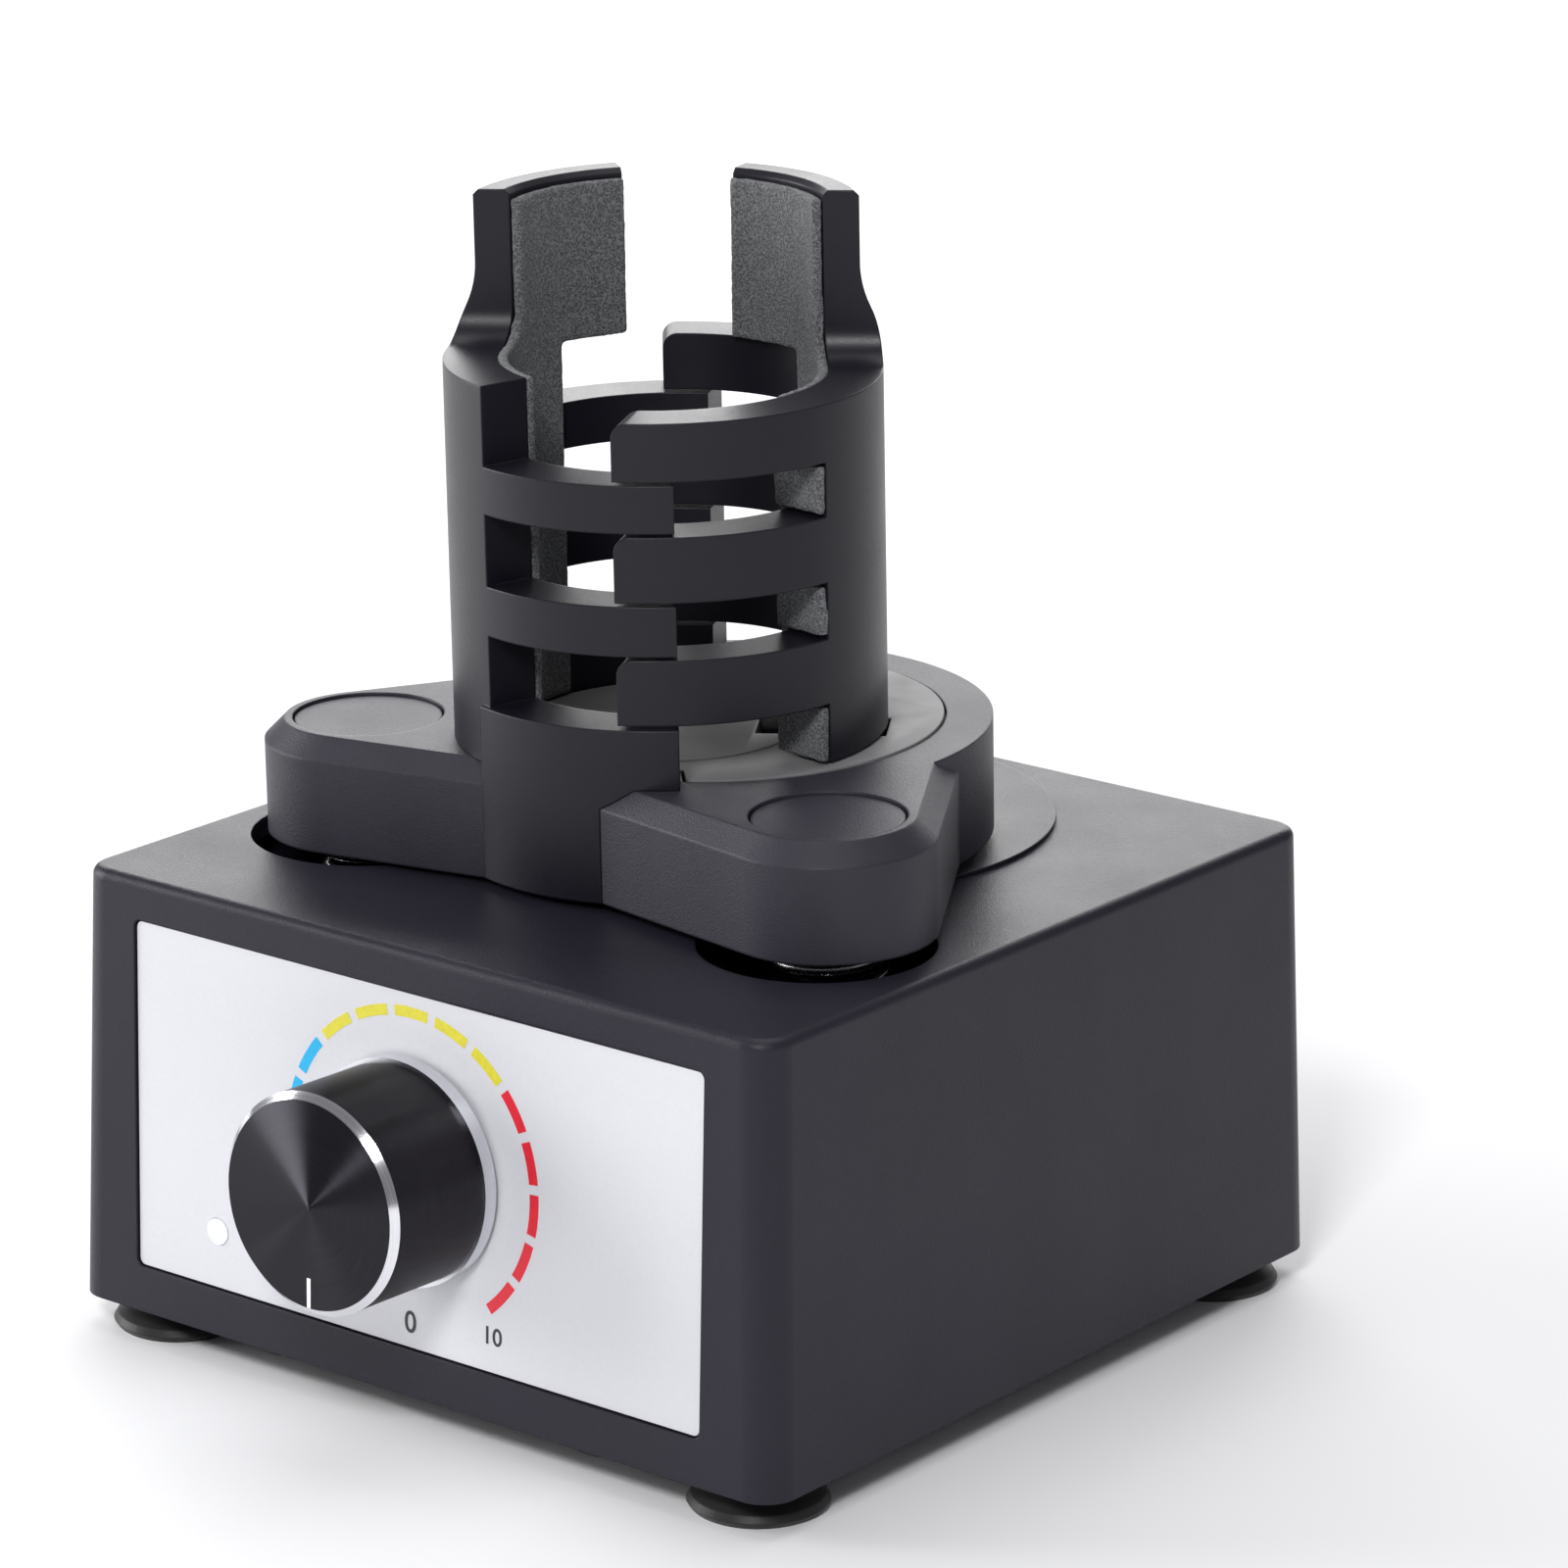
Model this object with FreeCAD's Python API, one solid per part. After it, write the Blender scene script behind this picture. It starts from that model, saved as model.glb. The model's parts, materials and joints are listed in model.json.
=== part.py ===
import FreeCAD, Part
import math
import os

V = FreeCAD.Vector

# Tabletop shaker for small bottles. Millimetres, +Z up, floor at Z = 0.
# Built about the middle of the housing; export() moves it to the middle of the whole outline.
# Azimuths run in degrees from the front (-Y) towards the right (+X).

# Housing
HOUSING_WIDTH = 105.0
HOUSING_DEPTH = 104.0
HOUSING_HEIGHT = 52.6
HOUSING_WALL = 2.4
HOUSING_CORNER = 4.0
HOUSING_TOP_EDGE = 1.2
HOUSING_DRAFT = 1.55
FOOT_HEIGHT = 4.2
PLAY = 0.3
RUNNING_PLAY = 0.05
SEAT_PLAY = 0.02
FACE_PLAY = 0.4

# Front panel, seen from the front
PANEL_WIDTH = 84.2
PANEL_HEIGHT = 41.8
PANEL_BOTTOM = 5.8
PANEL_CORNER = 0.8
PANEL_THICK = 1.0
PANEL_SINK = 0.3
PANEL_PLAY = 0.25

# Speed knob and its control
KNOB_UP = 27.2
KNOB_RADIUS = 12.8
KNOB_LENGTH = 16.2
KNOB_LIFT = 0.7
KNOB_BEVEL = 0.8
SKIRT_RADIUS = 13.3
SKIRT_LENGTH = 1.8
SKIRT_SEAT = 11.8
KNOB_HOLLOW_RADIUS = 7.5
KNOB_HOLLOW_DEPTH = 4.5
KNOB_BORE_DEPTH = 13.0
POINTER_START = 8.5
POINTER_WIDTH = 0.55
POINTER_DEPTH = 0.3
POT_SHAFT_RADIUS = 3.0
POT_BUSHING_RADIUS = 4.0
POT_BUSHING_OUT = 2.6
POT_BODY_RADIUS = 8.2
POT_BODY_LENGTH = 8.5
POT_SHAFT_IN = 5.0
POT_NUT_ACROSS = 11.0
POT_NUT_THICK = 2.0
LAMP_RADIUS = 1.6
LAMP_FROM_SIDE = 22.8
LAMP_UP = 12.6
LAMP_FLANGE = 2.2
LAMP_LENGTH = 6.0
GRUB_RADIUS = 1.5
GRUB_LENGTH = 5.0

# Inside the housing
PLATE_THICK = 2.2
SCREW_FROM_SIDE = 28.5
SCREW_ALONG = 43.0
SCREW_BOSS_RADIUS = 6.5
SCREW_BOSS_DROP = 1.6
SCREW_POST_RADIUS = 3.6
SCREW_POST_HEIGHT = 11.6
SCREW_SHANK = 1.5
SCREW_HEAD = 2.9
SCREW_HEAD_HEIGHT = 1.6
SCREW_LENGTH = 9.0
FOOT_RIM_RADIUS = 8.03
FOOT_INSET = 8.8
FOOT_NECK_RADIUS = 4.6
FOOT_STUD_RADIUS = 2.0
FOOT_STUD_HEAD = 3.4
BOARD_WIDTH = 64.0
BOARD_LOW = 19.0
BOARD_HIGH = 42.0
BOARD_THICK = 1.6
BOARD_FACE_FROM_FRONT = 12.4
JACK_FROM_SIDE = 16.5
JACK_UP = 18.0
JACK_BARREL = 3.9
JACK_SOCKET = 2.75
JACK_PIN = 0.9
JACK_BLOCK = 11.0
JACK_DEPTH = 9.0
CHIP_HALF = 6.0
CHIP_THICK = 2.2
TRIMMER_NEAR = 14.0
TRIMMER_WIDTH = 10.0
TRIMMER_DEEP = 7.5
TRIMMER_UP = 2.0
CAN_RADIUS = 4.0
CAN_LENGTH = 11.0
CAN_ACROSS = (-26.0, -16.0)

# Drive
CUP_RADIUS = 13.6
CUP_WALL = 1.6
CUP_FLOOR_DROP = 9.4
CUP_FLOOR_THICK = 2.0
CUP_PLUG_RADIUS = 29.7
COVER_RADIUS = 32.5
COVER_Y = 15.5
COVER_PROUD = 0.5
COVER_DEPTH = 3.0
MOTOR_RADIUS = 13.9
MOTOR_CLEARANCE = 6.0
MOTOR_SHELL = 1.0
MOTOR_BOSS_RADIUS = 5.0
MOTOR_BOSS_HEIGHT = 1.5
MOTOR_SCREW_REACH = 8.5
MOTOR_SCREW_HEAD = 2.2
MAGNET_THICK = 2.2
MAGNET_SPAN = 130.0
MAGNET_MARGIN = 5.5
ROTOR_RADIUS = 9.5
ROTOR_MARGIN = 6.5
SHAFT_RADIUS = 1.6
SHAFT_DROP = 1.8
END_CAP_THICK = 3.6
TAG_DROP = 3.0
ECCENTRICITY = 1.5
TILT = 1.0
TILT_AZIMUTH = -51.4
HUB_RADIUS = 8.0
HUB_BOTTOM_DROP = 7.8
HUB_TOP_RISE = 0.2
PIN_RADIUS = 4.0
SHOULDER_RADIUS = 5.0
WEIGHT_RADIUS = 12.5
WEIGHT_LOW_DROP = 6.8
WEIGHT_HIGH_DROP = 2.8
BEARING_OUTER = 8.0
BEARING_WIDTH = 5.0
BEARING_RISE = 2.8
BALL_RADIUS = 1.0
BALL_COUNT = 8
RACE_THICK = 0.95

# Springs and their wells
WELL_ACROSS = 33.7
WELL_Y = -20.4
WELL_RADIUS = 13.5
WELL_WALL = 1.8
WELL_FLOOR_DROP = 9.6
WELL_FLOOR_THICK = 2.0
WELL_POST_RADIUS = 4.3
WELL_POST_HEIGHT = 6.0
SPRING_RADIUS = 6.2
SPRING_WIRE = 1.4
SPRING_TURNS = 5
SPRING_BEND = 2.0
SPRING_END_PLAY = 0.05

# Platform
PLATFORM_BOTTOM_RISE = 1.3
PLATFORM_TOP_RISE = 14.8
PLATFORM_Y = 3.8
DECK_THICK = 3.6
BOSS_RADIUS = 32.1
BOSS_FRONT = 27.8
BOSS_WALL = 2.5
ARM_ACROSS = 34.2
ARM_SHIFT = 0.5
ARM_BACK = -23.2
ARM_RADIUS = 12.2
ARM_BEVEL = 2.4
ARM_WALL = 2.0
ARM_FRONT_SLOPE = 10.7
ARM_BACK_SLOPE = 122.0
CAP_RADIUS = 8.6
CAP_SINK = 0.3
CAP_FLANGE = 9.1
CAP_FLANGE_THICK = 1.5
MAT_RADIUS = 26.4
MAT_DEPTH = 1.0
MAT_THICK = 1.2
PAD_RADIUS = 15.0
PAD_RAISE = 0.15
CARRIER_RISE = 2.0
CARRIER_THICK = 1.8
CARRIER_SCREW_LENGTH = 6.0
CARRIER_RADIUS = 25.0
CARRIER_SEAT_RADIUS = 10.0
CARRIER_SEAT_RISE = 8.2
CARRIER_LIP = 6.6
POST_REACH = 21.5
POST_RADIUS = 3.2
POST_AZIMUTHS = (63.0, 183.0, 303.0)
SMALL_SHANK = 1.25
SMALL_HEAD = 2.3
SMALL_HEAD_HEIGHT = 1.2

# Jaws, in the frame of the platform
JAW_X = -1.45
JAW_Y = -6.6
JAW_OUTER = 25.1
JAW_INNER = 18.9
CLOSING_AZIMUTH = 123.0
FIXED_WALL_HALF = 42.3
SLIDE_WALL_HALF = 37.4
FIXED_FINGER_HALF = 98.8
SLIDE_FINGER_HALF = 97.0
FIXED_LIP = 44.4
SLIDE_LIP = 42.2
WING_TOP = 62.0
WING_OUTER = 22.9
WING_BACK_HALF = 70.0
WING_FRONT = -5.8
WING_ROOT = 4.0
WING_BEVEL = 0.6
FLARE_START = 1.4
FLARE_HEIGHT = 10.0
ROW_HEIGHTS = (7.0, 15.0, 21.2, 29.2, 35.1)
SLIDE_LIFT = 0.6
TIP_ROUND = 1.8
APRON_OUTER = 25.7
APRON_START = -17.7
APRON_END = 41.7
FOAM_THICK = 1.2
FOAM_FLAP = 2.6
TONGUE_WIDTH = 6.0
TONGUE_LENGTH = 5.0
TONGUE_END = 24.6
JAW_TRAVEL = 9.0
KEEPER_WIDTH = 9.0
KEEPER_LENGTH = 12.0
KEEPER_THICK = 1.8
FIXED_SCREW_AZIMUTHS = (-57.0, -105.0, -150.0)

# Worked out from the above
FLOOR = FOOT_HEIGHT
ROOF = FLOOR + HOUSING_HEIGHT
CUP_FLOOR_TOP = ROOF - CUP_FLOOR_DROP
SHAFT_TOP = ROOF - SHAFT_DROP
HUB_BOTTOM = ROOF - HUB_BOTTOM_DROP
HUB_TOP = ROOF + HUB_TOP_RISE
WEIGHT_LOW = ROOF - WEIGHT_LOW_DROP
WEIGHT_HIGH = ROOF - WEIGHT_HIGH_DROP
BEARING_BOTTOM = ROOF + BEARING_RISE
WELL_FLOOR_TOP = ROOF - WELL_FLOOR_DROP
PLATFORM_BOTTOM = ROOF + PLATFORM_BOTTOM_RISE
PLATFORM_TOP = ROOF + PLATFORM_TOP_RISE
CARRIER_BOTTOM = ROOF + CARRIER_RISE
CARRIER_SEAT_TOP = ROOF + CARRIER_SEAT_RISE
SLOPE = math.tan(math.radians(HOUSING_DRAFT))
JACK_ACROSS = JACK_FROM_SIDE - HOUSING_WIDTH / 2
SCREW_ACROSS = HOUSING_WIDTH / 2 - SCREW_FROM_SIDE
LAMP_ACROSS = LAMP_FROM_SIDE - HOUSING_WIDTH / 2
MOTOR_TOP = CUP_FLOOR_TOP - CUP_FLOOR_THICK
PLATE_TOP = FLOOR + PLATE_THICK
MOTOR_BOTTOM = PLATE_TOP + MOTOR_CLEARANCE
MOTOR_LENGTH = MOTOR_TOP - MOTOR_BOTTOM
MAGNET_LENGTH = MOTOR_LENGTH - 2 * MAGNET_MARGIN
ROTOR_LENGTH = MOTOR_LENGTH - 2 * ROTOR_MARGIN
FACE_OUT = KNOB_LIFT + KNOB_LENGTH - PANEL_SINK
DRAFT = math.radians(HOUSING_DRAFT)
FRONT_END = (-HOUSING_DEPTH / 2 - FACE_OUT * math.cos(DRAFT)
             + (KNOB_UP - KNOB_RADIUS + KNOB_BEVEL) * math.sin(DRAFT))
ORIGIN_Y = -(FRONT_END + HOUSING_DEPTH / 2) / 2
BEARING_MIDDLE = BEARING_BOTTOM + BEARING_WIDTH / 2
DECK_UNDER = PLATFORM_TOP - DECK_THICK
PIN_TOP = BEARING_BOTTOM + BEARING_WIDTH + 0.2
MOTOR_AXIS_Y = PLATFORM_Y + ECCENTRICITY
SPRING_Y = MOTOR_AXIS_Y + ARM_BACK


def direction(azimuth):
    turn = math.radians(azimuth)
    return V(math.sin(turn), -math.cos(turn), 0)


def disc(radius, low, high, x=0.0, y=0.0):
    return Part.makeCylinder(radius, high - low, V(x, y, low))


def ring(outer, inner, low, high, x=0.0, y=0.0):
    return disc(outer, low, high, x, y).cut(disc(inner, low - 1, high + 1, x, y))


def block(x0, x1, y0, y1, z0, z1):
    return Part.makeBox(x1 - x0, y1 - y0, z1 - z0, V(x0, y0, z0))


def rounded_wire(width, depth, radius, z):
    x = width / 2
    y = depth / 2
    k = radius * (1 - math.sqrt(0.5))
    r = radius
    corners = [(1, -1), (1, 1), (-1, 1), (-1, -1)]
    edges = []
    ends = []
    for sx, sy in corners:
        first = V(sx * (x - r), sy * y, z)
        second = V(sx * x, sy * (y - r), z)
        if sx * sy > 0:
            first, second = second, first
        edges.append(Part.Arc(first, V(sx * (x - k), sy * (y - k), z), second).toShape())
        ends.append((first, second))
    order = []
    for i in range(4):
        order.append(edges[i])
        order.append(Part.makeLine(ends[i][1], ends[(i + 1) % 4][0]))
    return Part.Wire(order)


def tapered_box(inset, low, high):
    """Box that follows the housing's sloping sides, inset from them, between two heights."""
    wires = []
    for z in (low, high):
        shrink = 2 * (inset + (z - FLOOR) * SLOPE)
        corner = max(HOUSING_CORNER - inset, 1.0)
        wires.append(rounded_wire(HOUSING_WIDTH - shrink, HOUSING_DEPTH - shrink, corner, z))
    return Part.makeLoft(wires, True, True)


def turned(profile, span=360.0, azimuth=0.0, x=0.0, y=0.0):
    """Solid of revolution of (radius, height) points; a point with three values passes an arc."""
    edges = []
    points = list(profile)
    count = len(points)
    i = 0
    while i < count:
        here = points[i]
        after = points[(i + 1) % count]
        start = V(here[0], 0, here[1])
        if len(after) == 3:
            end = points[(i + 2) % count]
            edges.append(Part.Arc(start, V(after[0], 0, after[1]), V(end[0], 0, end[1])).toShape())
            i += 2
        else:
            edges.append(Part.makeLine(start, V(after[0], 0, after[1])))
            i += 1
    face = Part.Face(Part.Wire(edges))
    face.rotate(V(0, 0, 0), V(0, 0, 1), azimuth - 90.0)
    solid = face.revolve(V(0, 0, 0), V(0, 0, 1), span)
    solid.translate(V(x, y, 0))
    return solid


def sector(outer, inner, low, high, start, end, x=0.0, y=0.0):
    corners = [(inner, low), (outer, low), (outer, high), (inner, high)]
    return turned(corners, end - start, start, x, y)


def screw(shank, length, head, head_height, x=0.0, y=0.0, z=0.0, up=True):
    """Pan head screw with a cross slot; z is where the head meets what it holds."""
    way = 1 if up else -1
    body = disc(shank, 0, length).fuse(disc(head, -head_height, 0))
    depth = head_height * 0.5
    for a, b in ((head * 0.55, shank * 0.25), (shank * 0.25, head * 0.55)):
        body = body.cut(block(-a, a, -b, b, -head_height - 1, -head_height + depth))
    if way < 0:
        body.rotate(V(0, 0, 0), V(1, 0, 0), 180)
    body.translate(V(x, y, z))
    return body


def hexagon(across, low, high):
    points = []
    for i in range(7):
        turn = math.radians(60 * i)
        points.append(V(across / math.sqrt(3) * math.cos(turn), across / math.sqrt(3) * math.sin(turn), low))
    return Part.Face(Part.makePolygon(points)).extrude(V(0, 0, high - low))


def facing_front(shape):
    """Turn a piece built flat (X across, Y up the face, Z outward) onto the sloping front."""
    shape.rotate(V(0, 0, 0), V(1, 0, 0), 90)
    shape.rotate(V(0, 0, 0), V(1, 0, 0), -HOUSING_DRAFT)
    shape.translate(V(0, -HOUSING_DEPTH / 2, FLOOR))
    return shape


def facing_back(shape):
    """Turn a piece built flat (X across, Y up the face, Z outward) onto the sloping back."""
    shape.rotate(V(0, 0, 0), V(1, 0, 0), 90)
    shape.rotate(V(0, 0, 0), V(0, 0, 1), 180)
    shape.rotate(V(0, 0, 0), V(1, 0, 0), HOUSING_DRAFT)
    shape.translate(V(0, HOUSING_DEPTH / 2, FLOOR))
    return shape


def on_platform(shape):
    """Put a piece built about the platform's upright axis onto the inclined one."""
    lean = direction(TILT_AZIMUTH)
    shape.rotate(V(0, 0, BEARING_MIDDLE), V(-lean.y, lean.x, 0), TILT)
    shape.translate(V(0, PLATFORM_Y, 0))
    return shape


def one_solid(shape):
    clean = shape.removeSplitter()
    return clean.Solids[0] if len(clean.Solids) == 1 else clean


pieces = {}


# Housing shell with its wells, posts, pocket and openings
def make_housing():
    shell = tapered_box(0.0, FLOOR, ROOF)
    top_edges = []
    for edge in shell.Edges:
        if edge.BoundBox.ZMin > ROOF - 0.01:
            top_edges.append(edge)
    shell = shell.makeFillet(HOUSING_TOP_EDGE, top_edges)
    shell = shell.cut(tapered_box(HOUSING_WALL, FLOOR - 1, ROOF - HOUSING_WALL))
    inside = tapered_box(HOUSING_WALL / 2, FLOOR, ROOF)
    for side in (-1, 1):
        x = side * WELL_ACROSS
        well = disc(WELL_RADIUS + WELL_WALL, WELL_FLOOR_TOP - WELL_FLOOR_THICK,
                    ROOF - HOUSING_WALL / 2, x, WELL_Y)
        cavity = disc(WELL_RADIUS, WELL_FLOOR_TOP, ROOF + 1, x, WELL_Y)
        post = disc(WELL_POST_RADIUS, WELL_FLOOR_TOP - 1, WELL_FLOOR_TOP + WELL_POST_HEIGHT, x, SPRING_Y)
        well = well.common(inside).cut(cavity).fuse(post)
        shell = shell.cut(cavity).fuse(well)
        for end in (-1, 1):
            px = side * SCREW_ACROSS
            py = end * SCREW_ALONG
            post = disc(SCREW_POST_RADIUS, PLATE_TOP, PLATE_TOP + SCREW_POST_HEIGHT, px, py)
            rib = block(px - 1, px + 1, min(py, end * HOUSING_DEPTH / 2), max(py, end * HOUSING_DEPTH / 2),
                        PLATE_TOP, PLATE_TOP + SCREW_POST_HEIGHT)
            shell = shell.fuse(post.fuse(rib.common(inside)))
            shell = shell.cut(disc(SCREW_SHANK + RUNNING_PLAY, PLATE_TOP - 1,
                                   PLATE_TOP + SCREW_LENGTH, px, py))
    shell = shell.cut(disc(CUP_PLUG_RADIUS + PLAY, ROOF - HOUSING_WALL - 1, ROOF + 1, 0, COVER_Y))
    pocket_depth = PANEL_THICK + PANEL_SINK
    middle = PANEL_BOTTOM + PANEL_HEIGHT / 2
    pocket = Part.Face(rounded_wire(PANEL_WIDTH + 2 * PANEL_PLAY, PANEL_HEIGHT + 2 * PANEL_PLAY,
                                    PANEL_CORNER + PANEL_PLAY, 0)).extrude(V(0, 0, pocket_depth + 1))
    pocket.translate(V(0, middle, -pocket_depth))
    shell = shell.cut(facing_front(pocket))
    hole = disc(POT_BUSHING_RADIUS + PLAY, -HOUSING_WALL - 1, 1, 0, KNOB_UP)
    shell = shell.cut(facing_front(hole))
    hole = disc(LAMP_RADIUS + PLAY, -HOUSING_WALL - 1, 1, LAMP_ACROSS, LAMP_UP)
    shell = shell.cut(facing_front(hole))
    hole = disc(JACK_BARREL + PLAY, -HOUSING_WALL - 1, 1, -JACK_ACROSS, JACK_UP - FLOOR)
    shell = shell.cut(facing_back(hole))
    pieces["housing"] = one_solid(shell)


def make_bottom():
    plate = tapered_box(HOUSING_WALL + PLAY, FLOOR, PLATE_TOP)
    screws = []
    for sx in (-1, 1):
        for sy in (-1, 1):
            x = sx * SCREW_ACROSS
            y = sy * SCREW_ALONG
            plate = plate.fuse(disc(SCREW_BOSS_RADIUS, FLOOR - SCREW_BOSS_DROP, PLATE_TOP, x, y))
            plate = plate.cut(disc(SCREW_HEAD + PLAY, 0,
                                   FLOOR - SCREW_BOSS_DROP + SCREW_HEAD_HEIGHT + PLAY, x, y))
            plate = plate.cut(disc(SCREW_SHANK + PLAY, 0, PLATE_TOP + 1, x, y))
            seat = FLOOR - SCREW_BOSS_DROP + SCREW_HEAD_HEIGHT + PLAY
            screws.append(screw(SCREW_SHANK, SCREW_LENGTH, SCREW_HEAD, SCREW_HEAD_HEIGHT, x, y, seat))
            fx = sx * (HOUSING_WIDTH / 2 - FOOT_INSET)
            fy = sy * (HOUSING_DEPTH / 2 - FOOT_INSET)
            plate = plate.cut(disc(FOOT_STUD_RADIUS + RUNNING_PLAY, 0, PLATE_TOP + 1, fx, fy))
            side = "left" if sx < 0 else "right"
            end = "front" if sy < 0 else "rear"
            pieces["foot_" + end + "_" + side] = foot(fx, fy)
    pieces["bottom_plate"] = one_solid(plate)
    pieces["bottom_screws"] = Part.makeCompound(screws)


def foot(x, y):
    """Suction foot: hollow cup, neck and a stud that snaps through the bottom plate."""
    rim = FOOT_RIM_RADIUS
    return turned([(0, FLOOR * 0.5), (rim - 2.6, FLOOR * 0.33), (rim - 1.4, 0), (rim - 0.5, 0), (rim, 0.7),
                   (rim - 0.5, 1.5), (FOOT_NECK_RADIUS + 0.6, FLOOR - 1.2), (FOOT_NECK_RADIUS, FLOOR),
                   (FOOT_STUD_RADIUS, FLOOR), (FOOT_STUD_RADIUS, PLATE_TOP), (FOOT_STUD_HEAD, PLATE_TOP),
                   (FOOT_STUD_HEAD - 0.8, PLATE_TOP + 1.4), (0, PLATE_TOP + 1.4)], x=x, y=y)


# Front panel, knob and electrics
def make_front():
    middle = PANEL_BOTTOM + PANEL_HEIGHT / 2
    panel = Part.Face(rounded_wire(PANEL_WIDTH, PANEL_HEIGHT, PANEL_CORNER, 0)).extrude(V(0, 0, PANEL_THICK))
    panel.translate(V(0, middle, -PANEL_SINK - PANEL_THICK))
    panel = panel.cut(disc(POT_BUSHING_RADIUS + PLAY, -5, 5, 0, KNOB_UP))
    panel = panel.cut(disc(LAMP_RADIUS + RUNNING_PLAY, -5, 5, LAMP_ACROSS, LAMP_UP))
    pieces["front_panel"] = facing_front(panel)

    back = -HOUSING_WALL - SEAT_PLAY
    bushing = disc(POT_BUSHING_RADIUS, back, -PANEL_SINK + POT_BUSHING_OUT, 0, KNOB_UP)
    body = disc(POT_BODY_RADIUS, back - POT_BODY_LENGTH, back, 0, KNOB_UP).fuse(bushing)
    tags = block(-6, 6, KNOB_UP - POT_BODY_RADIUS - 4, KNOB_UP - 4, back - 3.0, back - 1.6)
    body = body.fuse(tags)
    body = body.cut(disc(POT_SHAFT_RADIUS + RUNNING_PLAY, back - POT_SHAFT_IN - PLAY, 10, 0, KNOB_UP))
    pieces["speed_control"] = facing_front(one_solid(body))

    nut = hexagon(POT_NUT_ACROSS, -PANEL_SINK, -PANEL_SINK + POT_NUT_THICK)
    nut.translate(V(0, KNOB_UP, 0))
    nut = nut.cut(disc(POT_BUSHING_RADIUS + RUNNING_PLAY, -2, 10, 0, KNOB_UP))
    pieces["control_nut"] = facing_front(nut)

    low = -PANEL_SINK + KNOB_LIFT
    high = low + KNOB_LENGTH
    shaft = disc(POT_SHAFT_RADIUS, back - POT_SHAFT_IN, low + KNOB_BORE_DEPTH - PLAY, 0, KNOB_UP)
    pieces["control_shaft"] = facing_front(shaft)

    knob = turned([(0, low), (SKIRT_SEAT, low), (SKIRT_SEAT, low + SKIRT_LENGTH),
                   (KNOB_RADIUS, low + SKIRT_LENGTH),
                   (KNOB_RADIUS, high - KNOB_BEVEL), (KNOB_RADIUS - KNOB_BEVEL, high), (0, high)])
    knob = knob.cut(disc(KNOB_HOLLOW_RADIUS, low - 1, low + KNOB_HOLLOW_DEPTH))
    knob = knob.cut(disc(POT_SHAFT_RADIUS + RUNNING_PLAY, low, low + KNOB_BORE_DEPTH))
    edge = KNOB_RADIUS - KNOB_BEVEL
    slot = block(-POINTER_WIDTH / 2, POINTER_WIDTH / 2, -edge - 1, -POINTER_START, high - POINTER_DEPTH,
                 high + 1)
    knob = knob.cut(slot)
    grub_up = low + KNOB_HOLLOW_DEPTH + 3.5
    tunnel = Part.makeCylinder(GRUB_RADIUS + RUNNING_PLAY, KNOB_RADIUS, V(-KNOB_RADIUS - 1, 0, grub_up),
                               V(1, 0, 0))
    knob = knob.cut(tunnel)
    knob.translate(V(0, KNOB_UP, 0))
    pieces["speed_knob"] = facing_front(one_solid(knob))

    grub = Part.makeCylinder(GRUB_RADIUS, GRUB_LENGTH,
                             V(-POT_SHAFT_RADIUS - GRUB_LENGTH, KNOB_UP, grub_up), V(1, 0, 0))
    pieces["knob_grub_screw"] = facing_front(grub)

    skirt = ring(SKIRT_RADIUS, SKIRT_SEAT + RUNNING_PLAY, low, low + SKIRT_LENGTH, 0, KNOB_UP)
    pieces["knob_skirt"] = facing_front(skirt)

    pointer = block(-POINTER_WIDTH / 2, POINTER_WIDTH / 2, -edge, -POINTER_START, high - POINTER_DEPTH, high)
    pointer.translate(V(0, KNOB_UP, 0))
    pieces["knob_pointer"] = facing_front(pointer)

    lamp = disc(LAMP_RADIUS, back, -PANEL_SINK + 0.1).fuse(disc(LAMP_FLANGE, back - LAMP_LENGTH + 3, back))
    for side in (-1, 1):
        lamp = lamp.fuse(disc(0.3, back - LAMP_LENGTH, back, side * 1.2, 0))
    lamp.translate(V(LAMP_ACROSS, LAMP_UP, 0))
    pieces["power_lamp"] = facing_front(one_solid(lamp))


def make_electrics():
    face = -HOUSING_DEPTH / 2 + BOARD_FACE_FROM_FRONT
    half = BOARD_WIDTH / 2
    board = block(-half, half, face, face + BOARD_THICK, BOARD_LOW, BOARD_HIGH)
    pieces["control_board"] = board
    back = face + BOARD_THICK
    middle = (BOARD_LOW + BOARD_HIGH) / 2
    trimmer_low = BOARD_LOW + TRIMMER_UP
    chips = [block(-CHIP_HALF, CHIP_HALF, back, back + CHIP_THICK, middle - CHIP_HALF, middle + CHIP_HALF),
             block(TRIMMER_NEAR, TRIMMER_NEAR + TRIMMER_WIDTH, back, back + TRIMMER_DEEP,
                   trimmer_low, trimmer_low + TRIMMER_WIDTH)]
    for x in CAN_ACROSS:
        chips.append(Part.makeCylinder(CAN_RADIUS, CAN_LENGTH, V(x, back, middle), V(0, 1, 0)))
    pieces["board_parts"] = Part.makeCompound(chips)

    seat = -HOUSING_WALL - SEAT_PLAY
    half = JACK_BLOCK / 2
    jack = disc(JACK_BARREL, seat, -PLAY).fuse(block(-half, half, -half, half, seat - JACK_DEPTH, seat))
    jack = jack.cut(disc(JACK_SOCKET, seat - JACK_DEPTH + 1.5, 1))
    jack = jack.fuse(disc(JACK_PIN, seat - JACK_DEPTH + 1, -HOUSING_WALL / 2))
    jack.translate(V(-JACK_ACROSS, JACK_UP - FLOOR, 0))
    pieces["power_jack"] = facing_back(one_solid(jack))


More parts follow.
